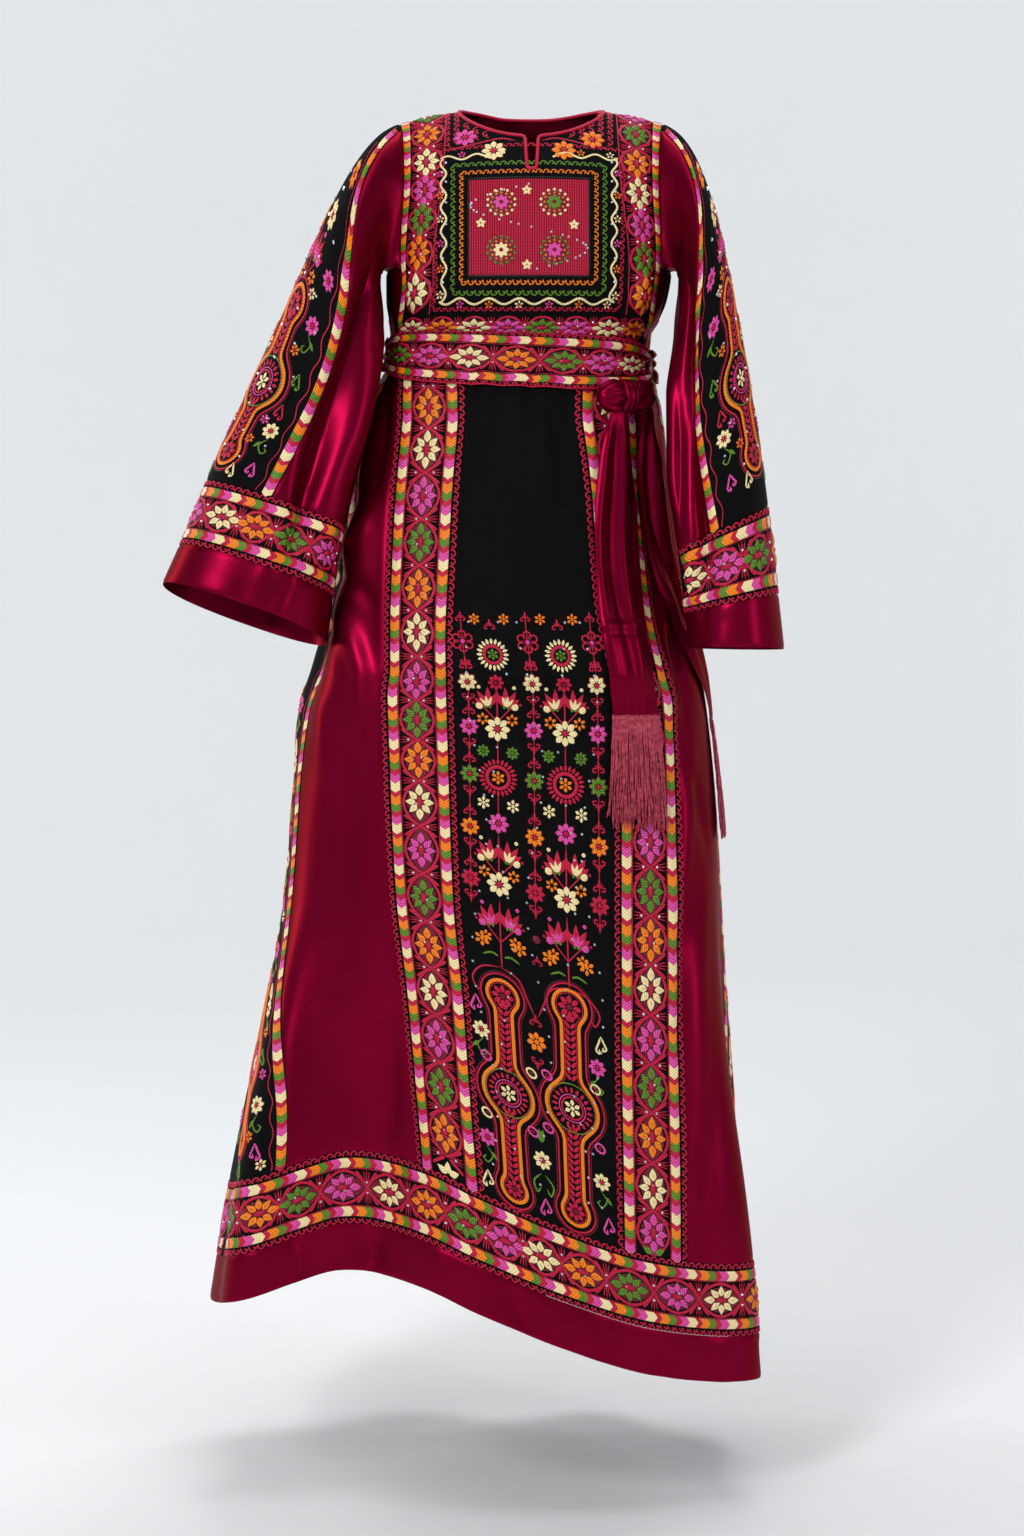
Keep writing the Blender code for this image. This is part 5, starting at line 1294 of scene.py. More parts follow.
def sprig(work, u, v, thread, flip, scale):
    # A flower on a curling green stem with a leaf.
    daisy(work, u, v, thread, 10.5 * scale)
    stem = ((2, 10, 0), (0, 20, -5), (1, 30, 0), (0, 26, 6), (2, 22, 0))
    points = [(u + flip * fixed + flip * aside * scale, v + down * scale) for fixed, down, aside in stem]
    stroke(work, "green", points, 0.9)
    leaf = petal(11 * scale, 4.5 * scale, 0, 0.9)
    work.sew("green", leaf, (u - flip * 4 * scale, v + 16 * scale, -flip * 140))


def curls(work, u, v, thread, scale):
    # Two curling arms from one point, the right one a fifth smaller.
    arm = ((0, 0), (3, 8), (6, 16), (2, 19), (2.5, 14))
    for s, size in ((-1, 1.0), (1, 0.8)):
        points = [(u + s * aside * scale, v + down * scale * size) for aside, down in arm]
        stroke(work, thread, points, 1.1, 0.9)


# The front panel: three columns of small flowers, two of large ones, and two keyholes below.
frontPattern = {
    "columns": ((661, "cream"), (710, "pink"), (761, "green"), (818, "orange"), (874, "crimson")),
    "buttons": ((597, "orange", 6.0, 6), (735, "green", 6.8, 8), (790, "cream", 7.0, 6)),
    "sprigs": (
        (-62, 1034, "cream", 1), (-61, 1146, "pink", -1), (57, 1032, "pink", 1), (56, 1146, "cream", -1),
    ),
    "curls": (
        (-66, 998, "pink"), (62, 1000, "cream"), (-63, 1180, "cream"), (-4, 1184, "pink"), (61, 1180, "pink"),
    ),
    "rings": (
        (-58, 1060, "pink"), (-12, 1060, "cream"), (4, 1056, "pink"), (54, 1054, "cream"),
        (-60, 1120, "cream"), (3, 1110, "pink"), (56, 1112, "pink"), (-13, 1120, "pink"),
    ),
}


def makeFrontPanel():
    # The columns lean to the left below, as in the photo.
    lean = ((0.60, 0.80, 0.95, 1.2), (0.0, -0.0015, -0.002, -0.001))
    work = Needlework("embroidery_front", body, lambda u, v: (v, u + np.interp(v, *lean)))
    loop = curve([(-0.5, -3), (-3.6, -8), (0, -11), (3.6, -8), (0.5, -3)], 0.9, 0.8, 10)
    for u in (-66, 0, 66):
        finial(work, u, 596)
        work.sew("crimson", allRound(loop, 6), (u, 620))
        dots(work, "pink", [(u, 620)], 2.4)
        finial(work, u, 642, 180)
        for v, thread in frontPattern["columns"]:
            daisy(work, u, v, thread, 9.6, 8, "crimson", "wine")
            finial(work, u, v - 17, 0, 1.25)
            finial(work, u, v + 17, 180, 1.25)
        stroke(work, "crimson", [(u, 590), (u, 750), (u, 900)], 0.6, 0.45, 40, False)
    for u in (-37, 32):
        finial(work, u, 604, 0, 1.1)
        work.sew("cream", allRound(petal(6.4, 3.2, 10.4, 1.0, 0.8, 5), 20), (u, 633))
        work.sew("crimson", ring(8.8, 8.8, 1.7, 1.0, 24), (u, 633))
        button(work, u, 633, "green", 6.0)
        daisy(work, u, 661, "crimson", 8.5, 8, "wine", None)
        tulips(work, u, 684, "cream", "orange")
        daisy(work, u, 711, "cream", 13.0)
        stroke(work, "crimson", [(u, 724), (u, 745)], 0.7)
        work.sew("crimson", allRound(petal(6.6, 3.4, 13.6, 1.0, 0.8, 5), 24), (u, 762))
        work.sew("crimson", ring(11.4, 11.4, 2.0, 1.0, 28), (u, 762))
        button(work, u, 762, "orange", 7.2)
        stroke(work, "crimson", [(u, 780), (u, 800)], 0.7)
        daisy(work, u, 810, "pink", 10.6, 8, "crimson", "wine")
        tulips(work, u, 846, "cream", "orange")
        daisy(work, u, 874, "cream", 13.0)
        tulips(work, u, 915, "pink", "orange")
        stroke(work, "crimson", [(u, 926), (u, 962)], 1.0)
        for s in (-1, 1):
            stroke(work, "green", [(u + s * 3, 950), (u + s * 10, 948), (u + s * 19, 952)], 1.2, 0.9)
            button(work, u + s * 19, 936, "orange", 8.2)
    for u in (-52, -22, 15, 48):
        for v, thread, radius, petals in frontPattern["buttons"]:
            daisy(work, u, v, thread, radius, petals, thread, None)
    dots(work, "wine", [(0, 921)], 4.2)
    finial(work, 0, 944)
    keyhole(work, -37, 991, 1091, 1188, (16, 26, 13, 8.5), 0.01)
    keyhole(work, 29, 980, 1081, 1186, (17, 27, 14, 9.0), -0.02)
    for row in frontPattern["sprigs"]:
        sprig(work, *row, 0.86)
    daisy(work, -5, 1026, "orange", 10.0, 7, "orange", "dark")
    daisy(work, -5, 1146, "cream", 9.5)
    finial(work, -5, 1006, 0, 1.2)
    finial(work, -5, 1046, 180, 1.2)
    for s in (-1, 1):
        vine = [(s * 2 - 4, 1000), (s * 9 - 4, 984), (s * 17 - 4, 968), (s * 34 - 4, 961)]
        stroke(work, "crimson", vine, 1.0)
        vine = [(s * 34 - 4, 961), (s * 54 - 4, 966), (s * 65 - 3, 980), (s * 60 - 3, 992), (s * 55 - 3, 985)]
        stroke(work, "crimson", vine, 1.0)
        vine = [(s * 2 - 5, 1160), (s * 10 - 5, 1170), (s * 7 - 5, 1180), (s * 3 - 5, 1174)]
        stroke(work, "green", vine, 1.1)
        work.sew("green", petal(14, 6, 0, 0.9), (-5, 1128, s * 9))
    for row in frontPattern["curls"]:
        curls(work, *row, 0.9)
    for u, v, thread in frontPattern["rings"]:
        work.sew(thread, ring(5.2, 4.0, 1.2, 0.9, 14), (u, v, 30))
        dots(work, "wine", [(u, v)], 1.8)
    stones = [(u, v) for v in range(600, 1190, 26) for u in (-58, -34, 0, 33, 57)]
    dots(work, "stone", [(u + 9 * math.sin(i * 2.4), v) for i, (u, v) in enumerate(stones)], 1.4, 1.9)
    work.make("front")


def scrollFrame(work, thread, half, top, foot, scale):
    # Scroll lines down both sides and across above and below.
    upright = work.layout
    for side in (-1, 1):
        scrollLine(work, side * half, top, foot, side, thread, scale)
    for v, turn in ((top, -1), (foot, 1)):
        work.layout = lambda a, b: upright(b, a + v * millimetre)
        scrollLine(work, 0, -half, half, turn, thread, scale)
    work.layout = upright


# The chest: a ribbed square with four rosettes, scroll frames and a wavy line round it, and the
# trim down both sides and below.
chestPattern = {
    "square": (62, 132, 237), "ribs": np.arange(-60, 60.1, 2.4), "ribEnds": (134, 236),
    "rosettes": (
        (-28, 160, "pink", "cream"), (26, 160, "green", "cream"), (-28, 211, "cream", "green"),
        (26, 211, "pink", "green"),
    ),
    "flowers": ((-49, 182), (46, 184), (-2, 147), (-2, 226)),
    # The wavy line: from, to, its place across, whether it stands upright, its side.
    "waves": (
        (-92, 92, 262, False, 1), (-92, 92, 104, False, -1), (104, 262, -89, True, -1),
        (104, 262, 89, True, 1),
    ),
    "sides": ((-1, (15, 62, 106, 142, 175, 211, 253), 3), (1, (15, 62, 108, 146, 182, 218, 256), 2)),
    "foot": (-126, -89, -55, -20, 15, 50, 86, 122),
    "footColours": ("cream", "orange", "cream", "pink", "green", "pink", "cream", "orange"),
    "neck": ((-66, 76, "pink"), (66, 80, "orange"), (-36, 98, "cream"), (36, 98, "orange")),
}


def makeChestSquare(work):
    # Cords 2.4 mm apart in a dark frame, with rosettes and small flowers on them.
    for u in chestPattern["ribs"]:
        work.add("crimson", straight(u, *chestPattern["ribEnds"], 26, 1.05, 0.75))
    half, top, foot = chestPattern["square"]
    corners = np.array([(-half, top), (half, top), (half, foot), (-half, foot)])
    t = np.linspace(0, 1, 14, endpoint=False)[:, None]
    line = np.vstack([a + (b - a) * t for a, b in zip(corners, np.roll(corners, -1, axis=0))])
    work.add("dark", ribbon(line, 1.0, 0.9, closed=True))
    for u, v, thread, edge in chestPattern["rosettes"]:
        work.sew("wine", disc(15, 15, 1.1, 24), (u, v), lift=0.0004)
        work.sew(edge, allRound(petal(3.4, 3.4, 12.4, 1.5, 0.8, 4), 14), (u, v), lift=0.0010)
        work.sew("orange", allRound(petal(3.2, 2.6, 8.6, 1.9, 0.8, 4), 12), (u, v), lift=0.0010)
        work.sew(thread, allRound(petal(7.0, 4.6, 1.6, 1.5, 0.8, 5), 8), (u, v), lift=0.0014)
    for place in chestPattern["flowers"]:
        work.sew("cream", allRound(petal(5, 3.4, 0.5, 1.2, 0.8, 5), 5), place, lift=0.0009)


def makeChestWaves(work):
    # Each line stands off by 3.2 sin(12 pi t), with flowers in its dips; the one above leaves
    # room for the neck's slit.
    count, t = 6, np.linspace(0, 1, 50)
    for low, high, fixed, upright, sign in chestPattern["waves"]:
        wave = fixed + sign * 3.2 * np.sin(t * math.pi * count * 2)
        along = low + (high - low) * t
        parted = not upright and sign < 0
        for keep in [along < -24, along > 24] if parted else [np.ones(50, bool)]:
            line = np.stack([wave, along] if upright else [along, wave], 1)[keep]
            work.add("cream", ribbon(line, 1.3, 1.2))
        for i in range(count):
            at, aside = low + (high - low) * (i + 0.75) / count, fixed + sign * 3.5
            u, v = (aside, at) if upright else (at, aside)
            if not (parted and abs(u) < 30):
                daisy(work, u, v, ("pink", "orange", "cream")[i % 3], 4.6, 5, "crimson", None)


def makeChest():
    layout = lambda u, v: (v, u - 0.003)
    work = Needlework("embroidery_chest", body, layout)
    makeChestSquare(work)
    scrollFrame(work, "orange", 69, 125, 243, 0.85)
    scrollFrame(work, "green", 78, 115, 253, 0.95)
    makeChestWaves(work)
    scrollFrame(work, "crimson", 98, 92, 270, 0.85)
    for side, places, first in chestPattern["sides"]:
        work.layout = lambda u, v: (v, side * (frontEdge(v) - 0.030) + u)
        embroiderTrim(work, places, cycled(first, len(places)), 2, 276, False)
        chevronCord(work, side * 24.0, 2, 300, 4.6)
        work.add("crimson", straight(-side * 19.5, 2, 276, 60, 0.7, 0.7))
    work.layout = lambda u, v: (0.2925 - u * 0.75, v)
    embroiderTrim(work, chestPattern["foot"], chestPattern["footColours"], -140, 140, False)
    # The top row beside the neck, on the shoulders and under the neck's edge.
    work.layout = layout
    for u, v, thread in chestPattern["neck"]:
        daisy(work, u, v, thread, 12.5, 8, "crimson", "wine")
    for s in (-1, 1):
        stroke(work, "crimson", [(s * 84, 92), (s * 60, 88), (s * 30, 82), (s * 14, 86)], 1.1)
        for row, (u, top) in enumerate(((84, 8), (74, 16), (64, 52), (54, 62), (44, 70))):
            scrollLine(work, s * u, top, 88 - 2 * row, s, "crimson", 1.15)
    stones = [(60 * math.sin(i * 2.4), 140 + 92 * ((i * 0.618) % 1)) for i in range(30)]
    stones += [(s * (86 + 4 * (i % 2)), 110 + i * 12) for i in range(13) for s in (-1, 1)]
    dots(work, "stone", stones, 1.4, 1.9)
    work.make("chest")


def wavyLine(work, start, end, steps):
    # A thin line beside the cord, 17 + 1.8 sin(v / 5.5) from the edge.
    v = np.linspace(start, end, steps)
    work.add("crimson", ribbon(np.stack([17 + 1.8 * np.sin(v / 5.5), v], 1), 0.55, 0.5))


# The strip on top of a sleeve, from its edge: a keyhole with tulips above it and flowers about.
stripPattern = {
    "cord": 6.5, "keyhole": (72, 168, 242, 318, (17, 28, 16, 10)),
    "large": ((29, 62, "orange", 9), (52, 92, "cream", 10), (86, 96, "orange", 8), (30, 132, "pink", 9)),
    "sprigs": ((35, 176, "pink", 1), (34, 286, "cream", -1), (109, 196, "orange", -1), (109, 292, "pink", 1)),
    "small": (
        (46, 204, "orange"), (48, 152, "cream"), (46, 276, "pink"), (52, 300, "orange"), (99, 152, "pink"),
        (98, 206, "cream"), (99, 278, "orange"),
    ),
    "curls": (
        (31, 222, "green"), (35, 256, "crimson"), (33, 324, "pink"), (54, 330, "cream"), (106, 236, "cream"),
        (98, 332, "green"),
    ),
}


def makeSleeveStrips():
    # The same from both edges of the strip; the back one is hidden in the photo.
    for side, surface in sleeves.items():
        foot = surface.bandTop * surface.length / millimetre - 2
        fromFront = lambda u, v: (v, surface.frontStrip(v / surface.length) - u)
        fromBack = lambda u, v: (v, u - surface.backStrip(v / surface.length))
        work = Needlework("embroidery_strip_" + side, surface, fromFront, surface.length)
        for edge in (fromFront, fromBack):
            work.layout = edge
            chevronCord(work, stripPattern["cord"], 8, foot, 5.2)
            wavyLine(work, 34, foot, 130)
            for u, v, thread, radius in stripPattern["large"]:
                daisy(work, u, v, thread, radius, 8, "crimson", "wine")
            tulips(work, 72, 124, "pink", "orange")
            keyhole(work, *stripPattern["keyhole"])
            for row in stripPattern["sprigs"]:
                sprig(work, *row, 0.88)
            for row in stripPattern["small"]:
                daisy(work, *row, 5.6, 6, "crimson", None)
            for row in stripPattern["curls"]:
                curls(work, *row, 0.85)
            stones = [(26 + 84 * ((i * 0.618) % 1), 56 + 9.5 * i) for i in range(30)]
            dots(work, "stone", stones, 1.4, 1.9)
        work.make("sleevetop" + side)


# The gore, from its front edge: rows of diamonds above, and below them one pattern sewn twice,
# with a keyhole and flowers; its distances down start at the places that repeats gives.
gorePattern = {
    "cord": 6.5, "rowStep": 26, "repeats": ((680, 74), (950, 70)),
    "diamonds": ("orange", "pink", "cream", "crimson"),
    "sprigs": (
        (34, 14, "pink", 1), (33, 78, "cream", 1), (34, 182, "cream", -1), (112, 60, "orange", -1),
        (114, 190, "pink", 1),
    ),
    "curls": (
        (33, 50, "cream"), (30, 122, "green"), (34, 222, "pink"), (62, 238, "green"), (110, 124, "cream"),
    ),
    "small": (
        (46, 44, "pink"), (28, 104, "orange"), (26, 150, "pink"), (44, 214, "orange"), (27, 246, "cream"),
    ),
}


def makeGores():
    start, foot = (armpitRow + 0.05) / millimetre, hemBandTop / millimetre - 2
    for side, turn in sides:
        work = Needlework("embroidery_gore_" + side, body, lambda u, v: (v, turn * (satinEdge(v) + u)))
        chevronCord(work, gorePattern["cord"], start, foot, 5.2)
        for i, v in enumerate(np.arange(start + 20, 620, gorePattern["rowStep"])):
            for k in range(3):
                at = (24 + 8 * (i % 2) + 18 * k, v)
                work.sew(gorePattern["diamonds"][(i + k) % 4], lens(7.0, 9.5, 0.8, 5, 7), at)
                work.sew("dark", lens(2.6, 3.6, 1.1, 3, 5), at)
        for down, middle in gorePattern["repeats"]:
            keyhole(work, middle, down + 50, down + 135, down + 215, (17, 28, 16, 10))
            for u, v, thread, flip in gorePattern["sprigs"]:
                sprig(work, u, down + v, thread, flip, 0.95)
            for u, v, thread in gorePattern["curls"]:
                curls(work, u, down + v, thread, 0.95)
            daisy(work, 60, down + 4, "orange", 9.5, 8, "crimson", "wine")
            for u, v, thread in gorePattern["small"]:
                daisy(work, u, down + v, thread, 6.2, 6, "crimson", None)
            finial(work, 90, down + 8, 0, 1.4)
        wavyLine(work, 620, foot, 160)
        work.make("gore" + side)


makeBands()
makeHem()
makeCuffs()
makeFrontPanel()
makeChest()
makeSleeveStrips()
makeGores()
print("needlework", sum(len(made) for made in stitched.values()))


# The sash: heights, places round the waist and clearances, in metres.
sash = {
    "left": -0.178, "right": 0.163, "half": 0.029, "leftZ": -0.262, "rightZ": -0.276,
    "clear": 0.0055, "tieHalf": 0.019, "knotZ": -0.311, "knotRound": 0.104, "knotClear": 0.0177,
    "knotSize": (0.034, 0.015, 0.019), "fringe": 0.110, "strands": 108,
}
# The tails, by level: z, place round, width, clearance.
tailRows = {
    "front": (
        (-0.3266, 0.098, 0.02, 0.0169), (-0.38, 0.097, 0.04, 0.0085), (-0.43, 0.097, 0.05, 0.006),
        (-0.56, 0.102, 0.052, 0.0055), (-0.628, 0.105, 0.051, 0.0055),
    ),
    "side": (
        (-0.3262, 0.13, 0.018, 0.0169), (-0.39, 0.142, 0.036, 0.006), (-0.47, 0.165, 0.046, 0.0045),
        (-0.56, 0.215, 0.05, 0.0045), (-0.64, 0.262, 0.05, 0.0045),
    ),
}
# Creases along each tail: place across, width, depth in metres, begin, full, fade, gone by level.
tailFolds = {
    "front": (
        (0.12, 0.1, 0.003, -0.33, -0.36, -0.5, -0.66), (0.4, 0.07, -0.0028, -0.33, -0.37, -0.46, -0.6),
        (0.66, 0.09, 0.0034, -0.33, -0.36, -0.56, -0.7), (0.9, 0.06, -0.0022, -0.33, -0.37, -0.44, -0.55),
        (0.3, 0.12, 0.0016, -0.48, -0.54, -0.7, -0.8),
    ),
    "side": (
        (0.2, 0.1, 0.003, -0.33, -0.36, -0.52, -0.7), (0.5, 0.08, -0.003, -0.33, -0.37, -0.5, -0.66),
        (0.78, 0.1, 0.0032, -0.33, -0.36, -0.58, -0.76),
    ),
}


def raisedSurface(grid, walls, downs, length, depth):
    # A surface of its own a given depth off the body, which keeps the body's directions.
    made = Surface(downs, grid + walls * depth, np.full(len(downs), length))
    made.normals = walls
    return made


def sashSurface(start, end, half, rows=44, columns=360, pleat=0.0):
    # Heights run across the sash, places run along it; its middle falls from left to right. The
    # pleats stand up by 1 - cos(2 pi run), with three of them across that wander along the sash.
    a = np.linspace(0, 1, columns + 1)
    place = start + a * (end - start)
    lean = np.clip((place - sash["left"]) / (sash["right"] - sash["left"]), 0, 1)
    if end > sash["right"] + 0.01:
        lean = 1 - a
    middle = sash["leftZ"] + lean * (sash["rightZ"] - sash["leftZ"])
    across = np.linspace(0, 1, rows)[:, None]
    heights = middle + (1 - 2 * across) * half(a)
    grid, walls = body.read(downAt(heights), place[None, :] + 0 * heights)
    crest = 0.0
    if pleat:
        run = 3 * across + 0.35 * np.sin(a * 9 + 1) * across * (1 - across) * 4
        crest = pleat * (1 - np.cos(2 * math.pi * run)) * (0.8 + 0.4 * np.sin(a * 23 + across * 3))
        crest = crest[..., None]
    downs = np.linspace(0, 2 * float(np.max(half(a))), rows)
    return raisedSurface(grid, walls, downs, end - start, sash["clear"] - 0.0004 + crest)


sashFlowers = {
    "places": (-128, -88, -46, 2, 50, 90, 126),
    "colours": ("green", "pink", "cream", "orange", "green", "pink", "cream"),
}


def makeSash():
    # The front ends in rounds: its half height is half times the root of 1 - |2a - 1| ** 5.
    satin, crepe = finishes["satin"], finishes["crepe"]
    length = sash["right"] - sash["left"]
    roundEnd = lambda a: sash["half"] * np.sqrt(np.maximum(1 - abs(2 * a - 1) ** 5, 0.002))
    front = sashSurface(sash["left"], sash["right"], roundEnd)

    def ends(whole):
        half = whole / 2
        return (lambda d: -half + 0.001 + 0 * d), (lambda d: half - 0.001 + 0 * d)

    panels["sashFront"] = clothPanel(
        "sash_trim", front, (0, 2 * sash["half"]), *ends(length), "sash_front", crepe, "embroidered_crepe",
        0.004, 1.0, 0.0020,
    )
    share = sash["half"] / 0.0385  # the trim is drawn 77 mm wide
    work = Needlework("embroidery_sash", front, lambda u, v: (sash["half"] - u * share, v))
    embroiderTrim(work, sashFlowers["places"], sashFlowers["colours"], -156, 156, False)
    for side in (-1, 1):
        chevronCord(work, side * 26.5, -158, 158)
        scrollLine(work, side * 34.6, -160, 160, side, "crimson", 0.9)
        for line, half in ((19.8, 0.5), (37.4, 0.8)):
            work.add("crimson", straight(side * line, -162, 162, 60, half, 0.6))
    for end in (-1, 1):
        work.layout = lambda u, v: (sash["half"] - v * share, end * 0.159 + u * end)
        chevronCord(work, 3.0, -27, 27, 5.2)
        work.layout = lambda u, v: (sash["half"] + u * share, end * 0.140 - end * v)
        finial(work, 0, 0, 0, 1.4)
    work.make("sashFront")
    tuck = 0.004 * length
    start, end = sash["right"] - tuck, float(body.girth(waistDown)) + sash["left"] + tuck
    tie = sashSurface(start, end, lambda a: sash["tieHalf"] + 0 * a, 40, 420, 0.0017)
    outward = body.read(waistDown, np.linspace(start, end, 421))[1]
    tie.normals = tie.findNormals()
    tie.normals *= np.sign(np.einsum("ijk,jk->ij", tie.normals, outward))[..., None]
    panels["sashTie"] = clothPanel(
        "sash_back", tie, (0, 2 * sash["tieHalf"]), *ends(end - start), "sash_tie", satin, "satin", 0.0025
    )


def makeKnot():
    # A bundle of satin: its size is drawn into the middle, its creases run round from end to end
    # and twist a little, and a strap of the same cloth is wound over the middle.
    down = float(downAt(sash["knotZ"]))
    point, normal = body.read(down, sash["knotRound"])
    beside, _ = body.read(down, sash["knotRound"] + 0.001)
    around = (beside - point) / np.linalg.norm(beside - point)
    below = np.cross(normal, around)
    wide, thick, high = sash["knotSize"]
    lat = np.linspace(-math.pi / 2, math.pi / 2, 72)[:, None]
    lon = np.linspace(0, 2 * math.pi, 120, endpoint=False)[None]
    pinch = 1 - 0.30 * np.exp(-((np.sin(lat) / 0.30) ** 2))
    wave = 0.10 * np.cos(7 * lon + 1.6 * np.sin(lat * 2)) + 0.045 * np.cos(13 * lon - 2.2 * lat)
    wave = wave + 0.03 * np.cos(4 * lon + 5 * lat)
    size = np.cos(lat).clip(0.001) ** 0.8 * pinch * (1 + wave * np.cos(lat))
    centre = point + normal * sash["knotClear"]
    points = (
        centre + (np.sin(lat) * wide)[..., None] * around
        + (np.sin(lon) * size * thick)[..., None] * normal + (np.cos(lon) * size * high)[..., None] * below
    )
    t = np.linspace(0, 2 * math.pi, 72, endpoint=False)[:, None]
    w = np.linspace(-1, 1, 25)[None]
    swell = 1.04 + 0.06 * np.sqrt(1 - w**2 * 0.98)
    swell = swell - 0.05 * np.exp(-(((w - 0.35) / 0.12) ** 2)) - 0.05 * np.exp(-(((w + 0.3) / 0.14) ** 2))
    reach = 0.86 * swell * (1 - 0.36 * abs(w) ** 9)
    strap = (
        centre + (w * 0.0095 + 0.002 * np.sin(t))[..., None] * around
        + (np.sin(t) * reach * thick)[..., None] * normal + (np.cos(t) * reach * high)[..., None] * below
    )
    faces = np.vstack([gridFaces(72, 120, False, True), 72 * 120 + gridFaces(72, 25, True)])
    points = np.vstack([points.reshape(-1, 3), strap.reshape(-1, 3)])
    made = meshObject("sash_bundle", points, faces, [finishes["satin"]], None, None, 0)
    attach(made, "root")
    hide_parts("sash_knot")
    panels["knot"] = made


def makeTails():
    # Each tail is a strip off the body, creased lengthwise by Gaussians that wander with the
    # level; the front one is gathered by a fold and a groove above its fringe.
    for side, rows in tailRows.items():
        table = columnsOf(rows)
        levels = np.linspace(table[0][0], table[0][-1], 110)
        level = levels[:, None]
        place, width, clear = [smooth(-table[0], column, -levels)[:, None] for column in table[1:]]
        across = np.linspace(0, 1, 61)[None]
        downs = downAt(levels)
        grid, walls = body.read(downs[:, None], place + (across - 0.5) * width)
        crease = np.zeros((110, 61))
        for at, wide, deep, begin, full, fade, gone in tailFolds[side]:
            grown = ramp(-levels, -begin, -full) * (1 - ramp(-levels, -fade, -gone))
            apart = across - at - 0.05 * np.sin(level * 30)
            crease += deep * grown[:, None] * np.exp(-((apart / wide) ** 2))
        if side == "front":
            fold, groove = ((level + 0.543) / 0.004) ** 2, ((level + 0.549) / 0.004) ** 2
            crease += 0.0016 * np.exp(-fold) - 0.0012 * np.exp(-groove)
        drop = downs - downs[0]
        surface = Surface(drop, grid + walls * (clear + crease + 0.0004)[..., None], width[:, 0])
        wall = np.cross(np.gradient(surface.points, axis=0), np.gradient(surface.points, axis=1))
        wall /= np.linalg.norm(wall, axis=2, keepdims=True)
        wall *= np.sign(np.einsum("ijk,ijk->ij", wall, walls))[..., None]
        surface.normals = wall
        edge = lambda d: surface.girth(d) / 2 - 0.0006
        panels["tail" + side] = clothPanel(
            "sash_end_" + side, surface, (0, drop[-1]), lambda d: -edge(d), edge, "sash_tail_" + side,
            finishes["satin"], "satin", 0.0022, 1.0, 0.0016,
        )
        makeFringe(side, table)


def makeFringe(side, table):
    # Twisted strands hang from the tail's foot: each wanders and swings a little on its own and
    # spreads out below. They run down the body's cloth in two layers.
    foot, place, width, clear = table[:, -1]
    count, steps, corners = sash["strands"], 22, 5
    i = np.arange(count)
    spread = (i // 2 + 0.5) / (count / 2)
    layer = i % 2
    rng = np.random.default_rng(11 if side == "front" else 12)
    long = sash["fringe"] * rng.uniform(0.86, 1.0, count)
    phase, swing = rng.uniform(0, 2 * math.pi, count), rng.uniform(0.4, 1.0, count)
    drift = rng.normal(0, 0.10, count)
    t = np.linspace(0, 1, steps)[None]
    fall = t * long[:, None]
    level = foot - 0.0002 - fall
    across = (spread[:, None] - 0.5) * (1 + 0.16 * t) + drift[:, None] * t**1.6 * 0.8
    across = across + 0.012 * np.sin(t * 17 + phase[:, None]) * t * swing[:, None]
    grid, walls = body.read(downAt(level), place + across * width)
    sway = 0.0016 * np.sin(t * 13 + 2 * phase[:, None]) * t
    depth = clear + 0.0012 + 0.0018 * layer[:, None] + 0.0022 * t + sway
    centre = grid + walls * depth[..., None]
    along = np.gradient(centre, axis=1)
    along /= np.linalg.norm(along, axis=2, keepdims=True)
    beside = np.cross(along, walls)
    beside /= np.linalg.norm(beside, axis=2, keepdims=True)
    out = np.cross(beside, along)
    # A strand's radius shrinks downwards, and its oval section turns as it goes: it is twisted.
    angle = np.linspace(0, 2 * math.pi, corners, endpoint=False)
    radius = 0.00072 * (1 - 0.35 * t[..., None]) * (1 + 0.28 * np.cos(2 * angle - 40 * t[..., None]))
    sideways, outwards = (np.cos(angle) * radius)[..., None], (np.sin(angle) * radius)[..., None]
    points = centre[:, :, None] + sideways * beside[:, :, None] + outwards * out[:, :, None]
    base = (np.arange(count)[:, None, None] * steps + np.arange(steps - 1)[:, None]) * corners
    k = np.arange(corners)
    a, b = base + k, base + (k + 1) % corners
    faces = np.stack([a, a + corners, b + corners, b], -1).reshape(-1, 4)
    first = i[:, None] * steps * corners
    ends = (first + k).tolist() + (first + (steps - 1) * corners + k[::-1]).tolist()
    made = meshObject("fringe_" + side, points, faces.tolist() + ends, [fringeMaterial], None, None, 0)
    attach(made, "root")
    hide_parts("sash_fringe_" + side)
    panels["fringe" + side] = made


def makeFringeMaterial():
    # Loosely twisted rayon cord: silky rose strands with dark wine between them.
    material, tree, shader = newMaterial("twistedRayonFringe", Roughness=0.45)
    place = addNode(tree, "ShaderNodeTexCoord")
    tone = addNode(tree, "ShaderNodeTexNoise", None, {"Vector": (place, "Object")}, Scale=260.0, Detail=2.0)
    colour = addNode(tree, "ShaderNodeValToRGB", None, {"Fac": (tone, "Fac")})
    for stop, position, shade in zip(colour.color_ramp.elements, (0.35, 0.65), ("#8C1634", "#C8445E")):
        stop.position, stop.color = position, linear(shade)
    tree.links.new(colour.outputs["Color"], shader.inputs["Base Color"])
    return material


fringeMaterial = makeFringeMaterial()
makeSash()
makeKnot()
makeTails()
print("sash")


# The neck: half width, front and back of its oval, half the slit above and below, and its foot.
neck = {
    "half": 0.076, "front": -0.068, "back": 0.040, "slitTop": 0.0070, "slitFoot": 0.0048, "slitZ": -0.074,
    "binding": 0.0019,
}


